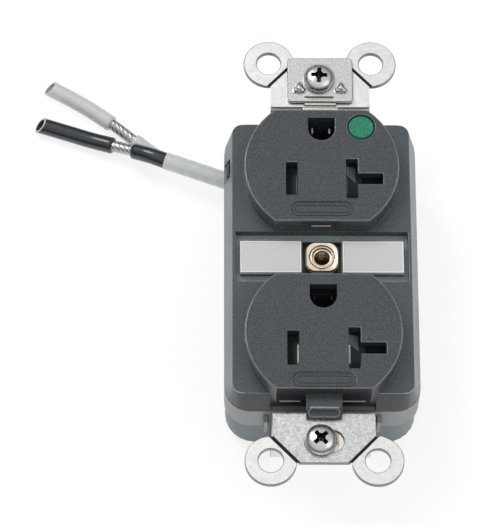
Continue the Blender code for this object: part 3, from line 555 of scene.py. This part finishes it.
def front_cover(finish):
    """The cover, painted by area with painted light, shade and reflection, with painted highlights on its
    edges, and the pad and latch that show on it.
    """
    # The cover's roundings get a painted highlight
    cover = rounded_copy("front_cover", "cover", finish["cover"], 0.2, 3, edges=finish["cover_edge"])
    for kind, test in (
        # Painted highlight on the faces' rounded rims
        ("cover_edge", lambda at, way: FACE_Z - 0.4 < at.z < FACE_Z and 0.25 < way.z < LEVEL),
        # Painted light on the level margins
        ("margin", lambda at, way: abs(at.z - COVER_Z) < 0.05 and way.z > LEVEL),
        # Painted reflection on the side walls
        ("side", lambda at, way: abs(at.x) > SIDE_X and abs(way.x) > 0.8),
        # Painted shade on the end walls
        ("end", lambda at, way: at.y < END_Y and way.y < -0.8),
        # Painted highlight along the margins' lower edges at the ends
        ("glint", lambda at, way: at.y < END_Y - 1 and abs(at.x) > 11 and COVER_Z - 0.3 < at.z < COVER_Z
            and 0.3 < way.z < LEVEL),
        # Painted shade inside the slots and ground holes
        ("inside", lambda at, way: at.z < FACE_Z - 0.25 and in_a_slot(at)),
        # Painted light on the pocket's floor
        ("pocket", lambda at, way: abs(at.y) < POCKET_HALF_Y and BUSHING_Z + 1 < at.z < COVER_Z - 0.6
            and way.z > 0.9),
        # Painted shade in the side notch
        ("inside", lambda at, way: in_the_notch(at)),
    ):
        paint(cover, finish[kind], test)
    # Thin strips that carry a painted highlight along the end walls' lower edges and the tab's fold
    for name, x0, x1, y, z in (
        ("wall_edge_highlight_left", -9.2, -4.7, -32.22, 24.62), ("wall_edge_highlight_right", 2.7, 8.8, -32.22, 24.62),
        ("tab_fold_highlight", -2.9, 3.0, -35.12, 28.2),
    ):
        bar(name, (x0, y), (x1, y), z, 0.15, 0.14, finish["glint"])
    bar("ground_tail", (-2.3, 6.0), (1.9, 6.0), 28.6, 0.12, 0.14, finish["brass"])
    tab_pad(finish)
    latch(finish)


def housings(finish):
    # Their roundings get darker finishes, as painted shade along the edges and the seam
    rounded_copy("middle_housing", "housing_band", finish["housing"], 0.16, edges=finish["housing_edge"])
    rounded_copy("back_body", "back_shell", finish["body"], 0.18, edges=finish["body_edge"])


def badges(finish):
    """Two low rims, one inside the other, in each face's blank badge."""
    sunk, proud, ramp = 0.05, 0.17, 0.06
    for name, centre_y in outlets():
        centre, foot = (0, centre_y + BADGE_DY), FACE_Z - BADGE_DEPTH
        for number, (inset, wide) in enumerate(((0.12, 0.26), (0.87, 0.18))):
            rings = []
            for step, z in ((0, -sunk), (ramp, proud), (wide - ramp, proud), (wide, -sunk)):
                outline = racetrack(centre, BADGE_HALF_X - inset - step, BADGE_R - inset - step)
                rings.append(level(outline, foot + z))
            rim = skin(rings, loop=True)
            piece(f"badge_rim_{name}_{number}", rim, finish["cover"])


def grade_dot(finish):
    """The green dot: a turned disc with a shallow groove near its rim."""
    profile = [
        (DOT_R - 0.02, FACE_Z - 0.9), (DOT_R - 0.02, FACE_Z - 0.22), (DOT_R - 0.12, FACE_Z - 0.1),
        (DOT_R - 0.3, FACE_Z - 0.07), (DOT_R - 0.42, FACE_Z - 0.16), (DOT_R - 0.6, FACE_Z - 0.18),
        (1.4, FACE_Z - 0.13), (0.4, FACE_Z - 0.1),
    ]
    dot = piece("dot", skin(turned_rings(profile, 64, DOT_AT)), finish["dot"])
    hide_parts("grade_dot")


def label_windows(finish):
    """A white frame with a blank card let into it, on each side of the bushing."""
    rows, columns, thickness, lip, below, sag = 10, 18, 0.25, 0.38, 0.1, 0.05
    for side, sign in (("left", -1), ("right", 1)):
        rounded_copy(f"label_holder_{side}", f"label_frame_{side}", finish["holder"], 0.09)
        mesh, grid = bmesh.new(), []
        for j in range(rows + 1):
            line = []
            for i in range(columns + 1):
                u, v = 2 * i / columns - 1, 2 * j / rows - 1
                x, y = sign * LABEL_X + u * (LABEL_HALF_X - lip), v * (LABEL_HALF_Y - lip)
                z = COVER_Z - below - sag * (1 - u * u) * (1 - v * v)
                line.append(mesh.verts.new(Vector((x, y, z)) * MM))
            grid.append(line)
        for a, b in zip(grid, grid[1:]):
            for i in range(columns):
                mesh.faces.new((a[i], a[i + 1], b[i + 1], b[i]))
        back = bmesh.ops.extrude_face_region(mesh, geom=mesh.faces[:])["geom"]
        corners = [part for part in back if isinstance(part, bmesh.types.BMVert)]
        bmesh.ops.translate(mesh, vec=(0, 0, -thickness * MM), verts=corners)
        bmesh.ops.recalc_face_normals(mesh, faces=mesh.faces)
        card = piece(f"label_{side}", mesh, finish["label"])
        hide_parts(f"label_card_{side}")


def bushing(finish):
    """A square brass flange stepped down in rings to its threaded hole, on a round post, with painted shade
    in its grooves and hole and a painted highlight down the hole's far wall.
    """
    steps, top, post_r, hole_r = 20, COVER_Z, 2.5, 1.48
    square = (
        (3.42, 2.05, BUSHING_Z + 0.3), (3.5, 2.1, BUSHING_Z + 0.42), (3.5, 2.1, top - 0.5),
        (3.42, 2.05, top - 0.2), (3.2, 1.9, top - 0.02), (2.95, 1.95, top - 0.05),
    )
    stepped = (
        (2.78, 0.12), (2.68, 0.34), (2.54, 0.40), (2.46, 0.24), (2.22, 0.22), (2.14, 0.40), (2.00, 0.60),
        (1.90, 0.62), (1.78, 0.55), (1.66, 0.60), (1.58, 0.8),
    )

    def round_ring(radius, z):
        first = math.pi / 4 / steps - math.pi / 4
        return level(circle((0, 0), radius, 4 * steps, first), z)

    rings = [round_ring(post_r, z) for z in (1.6, BUSHING_Z + 0.3)]
    rings += [level(rounded_square(half, radius, steps), z) for half, radius, z in square]
    rings += [round_ring(radius, top - depth) for radius, depth in stepped]
    z = top - 0.95
    while z > top - 13.5:
        for groove, step in ((0.0, 0.12), (0.16, 0.28), (0.16, 0.12), (0.0, 0.28)):
            rings.append(round_ring(hole_r + groove, z))
            z -= step
    made = piece("bushing", skin(rings), finish["brass"], angle=40)
    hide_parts("centre_bushing")

    def ringed(low, high, highest=top + 1):
        return lambda at, way: low < math.hypot(at.x, at.y) < high and top - 14 < at.z < highest

    # Painted shade in the groove at the flange's inner step and down the threaded hole
    paint(made, finish["brass_shade"], ringed(2.50, 2.73))
    # Painted shade in the inner ring's groove
    paint(made, finish["recess"], ringed(1.96, 2.17))
    in_hole, in_mouth = ringed(-1, 1.68, top - 0.6), ringed(-1, 1.68, top - 0.95)
    paint(made, finish["brass_shade"], in_hole)
    # A painted highlight down the far wall of the hole's mouth
    paint(
        made, finish["contact"],
        lambda at, way: in_mouth(at, way) and at.z > top - 5 and at.y > 0.9 and abs(at.x) < 0.5 and way.y < 0,
    )


# ---------------------------------------------------------------- strap, clip and screws

def off_score_line(x, y):
    """How far a point in the first quadrant is from the line where an ear breaks off."""
    (x0, y0), (x1, y1) = SCORE_LINE
    return ((y1 - y0) * (x - x0) - (x1 - x0) * (y - y0)) / math.hypot(x1 - x0, y1 - y0)


def bar(name, start, end, z, half_wide, lift, finish, body="device"):
    """A low level ridge with tapered ends: a fold line, a lip or a strip pressed into sheet metal, or a thin
    strip that carries a painted highlight or painted shade.
    """
    start, end = Vector((*start, z)), Vector((*end, z))
    along = (end - start).normalized()
    across = Vector((-along.y, along.x, 0))
    length, rings = (end - start).length, []
    tapers = ((0, 0.3), (0.15, 0.85), (0.35, 1.0))
    for s, share in (*tapers, *((length - s, share) for s, share in reversed(tapers))):
        rings.append([
            start + along * s + across * half_wide * share * math.cos(TAU * i / 16)
            + Vector((0, 0, lift * share * math.sin(TAU * i / 16)))
            for i in range(16)
        ])
    piece(name, skin(rings), finish, body, angle=60)


def strap(finish):
    """The strap, with painted shade in its score lines and along the cut edges of its plates, and the plate
    between the lower ears told apart.
    """
    made = rounded_copy("mounting_strap", "strap", finish["zinc"], 0.16, edges=finish["edge_shade"])
    plate_y, edge_shade_y = 34, 36  # where the plates and the painted shade on their edges begin

    def off_line(at):
        return off_score_line(abs(at.x), abs(at.y))

    # Painted shade in the score grooves
    def scored(at, way):
        return at.z > STRAP_TOP_Z - 0.6 and way.z < 0.93 and abs(off_line(at)) < 0.5

    # Painted shade on the plates' cut edges
    def edge_shade(at, way):
        return at.z > STRAP_TOP_Z - 1.25 and abs(way.z) < 0.6 and abs(at.y) > edge_shade_y

    def between_ears(at, way):
        inside = abs(at.x) < 5 or off_line(at) * off_score_line(0, 40) > 0
        return at.z > STRAP_TOP_Z - 0.1 and way.z > LEVEL and at.y < -plate_y and inside

    for kind, test in (("score", scored), ("edge_shade", edge_shade), ("stamped", between_ears)):
        paint(made, finish[kind], test)
    # Thin strips of painted shade in the creases
    for side, x0, x1 in (("left", -10.5, -3.7), ("right", 3.7, 10.5)):
        start, end = (x0, 35.3), (x1, 35.3)
        bar(f"strap_crease_{side}", start, end, STRAP_TOP_Z, 0.22, 0.06, finish["score"])


def clip(finish):
    """The self-grounding plate, with its two raised points drawn out of the sheet, and painted shade along
    its edges and folds.
    """
    # The plate's roundings get painted shade
    rounded_copy("ground_clip", "clip_plate", finish["clip"], 0.14, edges=finish["edge_shade"])
    # The fold strips carry painted shade; the strip below the upper fold is brass
    for name, x0, x1, y, half_wide, lift, kind, slot in (
        ("clip_fold_upper", -3.4, 2.9, 37.35, 0.24, 0.07, "score", "zinc_steel"),
        ("clip_contact_strip", -3.2, 2.9, 36.85, 0.17, 0.12, "brass", "brass"),
        ("clip_fold_lower", -3.35, 3.35, 36.15, 0.24, 0.07, "score", "zinc_steel"),
        ("clip_fold_tongue", -3.35, 3.35, 35.3, 0.2, 0.06, "score", "zinc_steel"),
        ("clip_tongue_lip", -3.85, 3.85, 34.55, 0.42, 0.16, "clip", "zinc_steel"),
    ):
        bar(name, (x0, y), (x1, y), CLIP_TOP_Z, half_wide, lift, finish[kind])
    for side, sign in (("left", -1), ("right", 1)):
        x, y, steps, rings = sign * LANCE_X, LANCE_Y - 0.15, 36, []
        for share, lift in (
            (1.0, -0.1), (0.92, 0.06), (0.8, 0.1), (0.62, 0.5), (0.52, 0.56), (0.3, 0.92), (0.12, 1.0),
        ):
            outline = []
            for i, (c, s) in enumerate(circle((0, 0), 1.0, steps, math.pi / 2)):
                lobe = share * (1.45 + 0.32 * math.cos(3 * TAU * i / steps))
                outline.append((x + lobe * c, y + lobe * s))
            rings.append(level(outline, CLIP_TOP_Z + lift))
        piece(f"clip_point_{side}", skin(rings), finish["clip"], angle=30)


def cross_cutter(x, y, crown, turn):
    """A Phillips recess: four tapering wings round a pointed core."""
    mesh = bmesh.new()
    for angle in (turn, turn + math.pi / 2):
        c, s = math.cos(angle), math.sin(angle)
        rings = []
        for long, wide, lift in ((0.55, 0.28, -1.75), (1.2, 0.34, -1.1), (2.05, 0.5, 0.3)):
            corners = ((-long, -wide), (long, -wide), (long, wide), (-long, wide))
            rings.append(level([(x + a * c - b * s, y + a * s + b * c) for a, b in corners], crown + lift))
        skin(rings, mesh=mesh)
    core = ((0.1, crown - 2.0), (0.75, crown - 1.2), (1.0, crown + 0.3))
    return skin(turned_rings(core, 16, (x, y)), mesh=mesh)


def cut_recess(head, name, wings, finish):
    """Cuts the wings out of a screw's head, and gives the cut a dark finish of painted shade."""
    data = bpy.data.meshes.new(name)
    data.materials.append(finish)
    wings.to_mesh(data)
    wings.free()
    cutter = bpy.data.objects.new(name, data)
    bpy.context.scene.collection.objects.link(cutter)
    boolean = head.modifiers.new("recess", "BOOLEAN")
    boolean.object, boolean.operation, boolean.solver = cutter, "DIFFERENCE", "EXACT"
    boolean.use_self, boolean.material_mode = True, "TRANSFER"
    freeze(head)
    bpy.data.objects.remove(cutter)
    head.data.shade_smooth()
    head.data.set_sharp_from_angle(angle=math.radians(35))


def mounting_screw(end, finish):
    """One pan-headed Phillips screw and its thread, with the retainer under it."""
    (x, y, seat), body = SCREWS[end], f"mounting_screw_{end}"
    crown, turn = seat + 2.0, SCREW_TURNS[end]
    profile = [
        (SHANK_R - 0.3, seat - 0.02), (HEAD_R - 0.3, seat + 0.02), (HEAD_R - 0.06, seat + 0.12),
        (HEAD_R, seat + 0.34), (HEAD_R - 0.04, seat + 0.62), (HEAD_R - 0.2, seat + 1.0),
        (HEAD_R - 0.55, seat + 1.38), (HEAD_R - 1.1, seat + 1.68), (HEAD_R - 1.8, seat + 1.87),
        (0.9, seat + 1.96), (0.3, crown),
    ]
    disc = skin(turned_rings(profile, 72, (x, y)))
    head = piece(f"screw_head_{end}", disc, finish["screw"], body, angle=40)
    cut_recess(head, f"recess_{end}", cross_cutter(x, y, crown, turn), finish["recess"])
    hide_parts(body)
    shank = (seat - SCREW_L, seat - 0.05, SHANK_R, 0.3)
    helical_thread(f"screw_thread_{end}", (x, y), *shank, finish["screw"], body)
    retainer = f"screw_retainer_{end}"
    rounded_copy(retainer, f"retainer_{end}", finish["brass"], 0.1, body=retainer)


def fixed_screws(finish):
    for number in range(1, 5):
        rounded_copy(f"assembly_screw_{number}", f"back_screw_{number}", finish["screw"], 0.06)
    for end in ("upper", "lower"):
        rounded_copy(f"strap_rivet_{end}", f"rivet_{end}", finish["screw"], 0.12)


def ramp_corner(name, centre_y, finish):
    """The corner of the neutral shutter's slope that shows in the upper part of the T slot, painted pale as
    painted light falling on it.
    """
    y, node = centre_y + BLADE_DY, f"shutter_neutral_{name}"
    rings = []
    for inset, lift in ((0.0, -0.05), (0.0, 0.22), (0.14, 0.34)):
        left, right, high = 5.25 + inset, 7.3 - inset, 4.2 - inset
        rings.append([
            (x, y + dy, SHUTTER_TOP_Z - (x - SHUTTER_CREST_X) * SHUTTER_FALL + lift)
            for x, dy in ((left, high), (left, 2.1 + inset), (right, 0.7 + inset), (right, high))
        ])
    piece(f"ramp_corner_{name}", skin(rings), finish, node, angle=30)


def spring(name, centre_y, finish):
    """The coil between an outlet's shutters, which they press together from both ends."""
    y, steps, around, rings = centre_y + BLADE_DY + SPRING_DY, 28, 10, []
    aside = Vector((1, 0, 0))
    for i in range(SPRING_TURNS * steps + 1):
        turn = TAU * i / steps
        out = Vector((0, math.cos(turn), math.sin(turn)))
        x = SPRING_HALF_X * (2 * i / (SPRING_TURNS * steps) - 1)
        centre = Vector((x, y, SPRING_Z)) + out * SPRING_R
        rings.append([centre + out * a + aside * b for a, b in circle((0, 0), SPRING_WIRE, around)])
    made = piece(f"spring_{name}", skin(rings), finish, angle=50)
    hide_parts(f"shutter_spring_{name}")
    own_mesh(made)


def shutters(finish):
    for name, centre_y in outlets():
        for kind in ("hot", "neutral"):
            node = f"shutter_{kind}_{name}"
            rounded_copy(node, f"wedge_{kind}_{name}", finish["shutter"], 0.1, body=node)
        ramp_corner(name, centre_y, finish["ramp"])
        spring(name, centre_y, finish["spring"])


def glints(finish):
    """What shines in the openings, as thin strips with painted highlights: the ends of the upper ground
    contacts, and the shutters' crests; the lower ground contacts' ends get painted shade.
    """
    for name, centre_y in outlets():
        # The upper ground contacts' ends get a painted highlight, the lower ones painted shade
        y, kind = centre_y + GROUND_DY + 1.1, "glint" if name == "upper" else "recess"
        for side, x in (("left", -1.85), ("right", 1.85)):
            start, end = (x, y - 0.7), (x, y + 0.7)
            bar(f"ground_finger_{name}_{side}", start, end, 27.6, 0.26, 0.3, finish[kind])
        y, z = centre_y + BLADE_DY, SHUTTER_TOP_Z - 0.05
        # The shutters' crests carry a painted highlight, fainter on the upper outlet
        half_wide, kind = (0.13, "cover_edge") if name == "upper" else (0.18, "crest_highlight")
        for side, x in (("hot", -5.26), ("neutral", 5.36)):
            node, start, end = f"shutter_{side}_{name}", (x, y - 2.4), (x, y + 2.0)
            bar(f"crest_{side}_{name}", start, end, z, half_wide, 0.16, finish[kind], node)


def works(finish):
    """The trays, buses and terminals keep their CAD shape and get their own finishes."""
    for node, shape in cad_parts.items():
        if "shutter_tray" in node:
            kind = "tray"
        elif "bus" in node or "terminal" in node:
            kind = "contact"
        else:
            continue
        for slot in shape.material_slots:
            slot.material = finish[kind]


# ---------------------------------------------------------------- leads

def smooth(route, spacing):
    """Points on a Catmull-Rom curve through the route, about that far apart."""
    nodes = [Vector(p) for p in route]
    nodes = [nodes[0] * 2 - nodes[1], *nodes, nodes[-1] * 2 - nodes[-2]]
    points = []
    for a, b, c, d in zip(nodes, nodes[1:], nodes[2:], nodes[3:]):
        steps = max(1, round((c - b).length / spacing))
        square, cube = 2 * a - 5 * b + 4 * c - d, 3 * b - a - 3 * c + d
        for i in range(steps):
            t = i / steps
            points.append(0.5 * (2 * b + (c - a) * t + square * t**2 + cube * t**3))
    return points + [nodes[-2]]


def sleeve_axes():
    """The sleeve's tall and wide directions across its own length."""
    along = (SLEEVE_END - SLEEVE_START).normalized()
    level_way = along.cross(Vector((0, 0, 1))).normalized()
    upright = level_way.cross(along).normalized()
    if level_way.y > 0:
        level_way = -level_way
    tall = math.cos(SLEEVE_LEAN) * upright + math.sin(SLEEVE_LEAN) * level_way
    return tall, along.cross(tall)


def lead(colour, route, strip_x, side, finish):
    """One lead as a single swept surface: insulation, stripped strands, and the slug's open end."""
    shift = sleeve_axes()[0] * LEAD_LIFT * side
    start = SLEEVE_START + shift
    inside = [start.lerp(SLEEVE_END + shift, t) for t in (0.0, 0.35, 0.7, 0.98)]
    line = smooth([*inside, *route], 0.3)
    lengths = [0.0]
    for a, b in zip(line, line[1:]):
        lengths.append(lengths[-1] + (b - a).length)
    total, up = lengths[-1], Vector((0, 0, 1))
    rings, kinds = [], []

    def distance_at(x):
        for (p, q), (s, e) in zip(zip(line, line[1:]), zip(lengths, lengths[1:])):
            if q.x <= x <= p.x:
                return s + (e - s) * (p.x - x) / max(1e-9, p.x - q.x)
        return total

    def ring(s, radius, strands):
        s = min(max(s, 0.0), total)
        index = min(max(i for i, v in enumerate(lengths) if v <= s + 1e-9), len(line) - 2)
        share = (s - lengths[index]) / max(1e-9, lengths[index + 1] - lengths[index])
        centre = line[index].lerp(line[index + 1], share)
        ahead = (line[min(index + 2, len(line) - 1)] - line[max(index - 1, 0)]).normalized()
        right = ahead.cross(up).normalized()
        over = right.cross(ahead)
        points = []
        for i in range(LEAD_AROUND):
            a, r = TAU * i / LEAD_AROUND, radius
            if strands:
                r -= STRAND_GROOVE * (1 - abs(math.cos(STRAND_LOBES / 2 * (a + s * STRAND_TWIST))))
            points.append(centre + right * r * math.cos(a) + over * r * math.sin(a))
        return points

    def put(s, radius, kind, strands=False):
        rings.append(ring(s, radius, strands))
        kinds.append(kind)

    def spaced(first, last, step):
        """Places between two others, about that far apart."""
        count = int((last - first) / step)
        return [first + (last - first) * i / count for i in range(1, count)]

    bare_from, bare_to = (distance_at(x) for x in strip_x)
    edge, chamfer, step = 0.12, 0.1, 0.8
    for s in (0.0, *spaced(0.0, bare_from, step), bare_from - edge):
        put(s, LEAD_R, INSULATION)
    put(bare_from, LEAD_R - chamfer, INSULATION)
    put(bare_from + 0.02, STRAND_R, INSULATION, True)
    count = int((bare_to - bare_from) / 0.2)
    for i in range(count + 1):
        put(bare_from + 0.05 + (bare_to - bare_from - 0.1) * i / count, STRAND_R, STRANDS, True)
    put(bare_to, LEAD_R - chamfer, INSULATION)
    for s in (bare_to + edge, *(s for s in spaced(bare_to, total, step) if s < total - 2 * step)):
        put(s, LEAD_R, INSULATION)
    tip, ahead = total - 0.35, (line[-1] - line[-3]).normalized()
    for s, radius, kind in (
        (tip - edge, LEAD_R, INSULATION), (tip, LEAD_R - 0.12, CUT_END), (tip, LEAD_R - 0.42, CUT_END),
        (tip - 0.12, LEAD_R - 0.5, HOLLOW), (tip - 2.4, LEAD_R - 0.55, HOLLOW),
    ):
        put(s, radius, kind)
        middle = sum(rings[-1], Vector()) / LEAD_AROUND
        rings[-1] = [point - ahead * TIP_SLANT * (point - middle).dot(up) for point in rings[-1]]

    made = piece(f"{colour}_lead", skin(rings), finish[colour], angle=50)
    for kind in ("strands", f"hollow_{colour}", "cut_end"):
        made.data.materials.append(finish[kind])
    for polygon in made.data.polygons:
        row = min(polygon.vertices) // LEAD_AROUND
        near, far = kinds[row], kinds[min(row + 1, len(kinds) - 1)]
        if polygon.index >= (len(rings) - 1) * LEAD_AROUND:  # the two caps
            polygon.material_index = INSULATION if row == 0 else HOLLOW
        elif near == far == STRANDS:
            polygon.material_index = STRANDS
        else:
            polygon.material_index = far if far > STRANDS else INSULATION
    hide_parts(f"lead_{colour}")
    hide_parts(f"lead_{colour}_strands")
    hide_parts(f"lead_{colour}_slug")


def sleeve(finish):
    """A thin shrink sleeve, open at the far end and slightly puckered, round both leads."""
    tall, wide = sleeve_axes()
    length = (SLEEVE_END - SLEEVE_START).length
    ahead = (SLEEVE_END - SLEEVE_START).normalized()
    steps, rows, slack = 18, 36, 0.03
    outline = arc((0, LEAD_LIFT), 1.0, 0, math.pi, steps) + arc((0, -LEAD_LIFT), 1.0, math.pi, TAU, steps)
    hubs = [LEAD_LIFT] * (steps + 1) + [-LEAD_LIFT] * (steps + 1)

    def ring(s, radius, wave):
        points = []
        for i, ((a, b), hub) in enumerate(zip(outline, hubs)):
            r = radius + wave * (0.03 * math.sin(s * 1.9 + i * 0.5) + 0.02 * math.sin(s * 4.3 - i * 0.9))
            points.append(SLEEVE_START + ahead * s + wide * a * r + tall * (hub + (b - hub) * r))
        return points

    rings = [ring(-SLEEVE_INSIDE, SLEEVE_R - slack, 1.0)]
    rings += [ring(length * i / rows, SLEEVE_R - slack, 1.0) for i in range(rows)]
    rings.append(ring(length - 0.05, SLEEVE_R - 0.01, 0.3))
    rings.append(ring(length, SLEEVE_R - 0.05, 0.3))
    rings.append(ring(length - 0.03, LEAD_R + SLEEVE_PLAY, 0.0))
    rings.append(ring(-SLEEVE_INSIDE, LEAD_R + SLEEVE_PLAY, 0.0))
    made = piece("sleeve", skin(rings, loop=True), finish["sleeve"], angle=50)
    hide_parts("lead_sleeve")
    return made


# ---------------------------------------------------------------- stage

def stage():
    """A sheet of opal acrylic lit from below, a hair under the strap's back so as not to share its plane."""
    mesh = bmesh.new()
    bmesh.ops.create_grid(mesh, x_segments=1, y_segments=1, size=3.0)
    bmesh.ops.translate(mesh, vec=(0, 0, -0.05 * MM), verts=mesh.verts)
    data = bpy.data.meshes.new("light_table")
    mesh.to_mesh(data)
    mesh.free()
    floor = bpy.data.objects.new("light_table", data)
    bpy.context.scene.collection.objects.link(floor)
    acrylic = Nodes("opal_acrylic", (0.33, 0.33, 0.33), 0.8)
    acrylic.set("Specular IOR Level", 0.1)
    acrylic.set("Emission Color", (1, 1, 1, 1))
    acrylic.set("Emission Strength", FLOOR_GLOW)
    acrylic.tint(acrylic.noise(40, 2.0), 0.98, 1.02)
    data.materials.append(acrylic.material)


def softbox(name, at, size, power):
    """A round light, placed in metres, that points at the device."""
    light = bpy.data.lights.new(name, "AREA")
    light.shape, light.size, light.energy = "DISK", size, power
    made = bpy.data.objects.new(name, light)
    bpy.context.scene.collection.objects.link(made)
    made.location = at
    made.rotation_euler = (Vector((0, 0, 0.015)) - Vector(at)).to_track_quat("-Z", "Y").to_euler()


def studio():
    """A white overhead tent that falls off to dark walls, which draw the outlines of bright metal."""
    scene = bpy.context.scene
    scene.view_settings.view_transform = "Standard"
    scene.view_settings.look = "None"
    world = bpy.data.worlds.new("studio")
    scene.world = world
    world.use_nodes = True
    tree = world.node_tree
    background = tree.nodes["Background"]
    background.inputs["Strength"].default_value = TENT_STRENGTH
    where = tree.nodes.new("ShaderNodeTexCoord")
    height = tree.nodes.new("ShaderNodeSeparateXYZ")
    ramp = tree.nodes.new("ShaderNodeValToRGB")
    tree.links.new(where.outputs["Generated"], height.inputs["Vector"])
    tree.links.new(height.outputs["Z"], ramp.inputs["Fac"])
    tree.links.new(ramp.outputs["Color"], background.inputs["Color"])
    levels = ((0.0, 0.10), (0.30, 0.14), (0.58, 0.55), (0.80, 0.95), (1.0, 1.0))
    while len(ramp.color_ramp.elements) < len(levels):
        ramp.color_ramp.elements.new(0.5)
    for element, (position, grey) in zip(ramp.color_ramp.elements, levels):
        element.position = position
        element.color = (grey * 0.97, grey * 0.99, grey, 1)
    softbox("key", (-0.55, 0.60, 1.10), 0.50, KEY_POWER)
    softbox("fill", (0.75, -0.25, 1.00), 0.80, FILL_POWER)


def camera():
    """Looks from where the photo was taken."""
    made = bpy.data.objects.new("camera", bpy.data.cameras.new("camera"))
    bpy.context.scene.collection.objects.link(made)
    turn = Matrix.Identity(3)
    for angle, axis in zip(CAMERA_TILT, "XYZ"):
        turn = turn @ Matrix.Rotation(math.radians(angle), 3, axis)
    made.matrix_world = Matrix.Translation(CAMERA_AT) @ turn.to_4x4()
    made.data.sensor_fit = "HORIZONTAL"
    made.data.sensor_width = 36.0
    made.data.lens = CAMERA_LENS
    made.data.clip_start, made.data.clip_end = 0.01, 20
    bpy.context.scene.camera = made


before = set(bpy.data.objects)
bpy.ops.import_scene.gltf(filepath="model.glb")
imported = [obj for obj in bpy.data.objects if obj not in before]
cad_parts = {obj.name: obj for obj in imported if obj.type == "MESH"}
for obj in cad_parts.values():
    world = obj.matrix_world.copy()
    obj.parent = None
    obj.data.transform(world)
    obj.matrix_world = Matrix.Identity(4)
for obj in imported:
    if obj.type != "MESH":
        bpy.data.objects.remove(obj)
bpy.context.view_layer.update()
camera()
materials = make_materials()
shrink_sleeve = sleeve(materials)
lead("black", BLACK_ROUTE, BLACK_STRIP_X, 1, materials)
lead("white", WHITE_ROUTE, WHITE_STRIP_X, -1, materials)
front_cover(materials)
housings(materials)
badges(materials)
grade_dot(materials)
label_windows(materials)
bushing(materials)
strap(materials)
clip(materials)
for end in SCREWS:
    mounting_screw(end, materials)
fixed_screws(materials)
shutters(materials)
glints(materials)
works(materials)
stage()
studio()
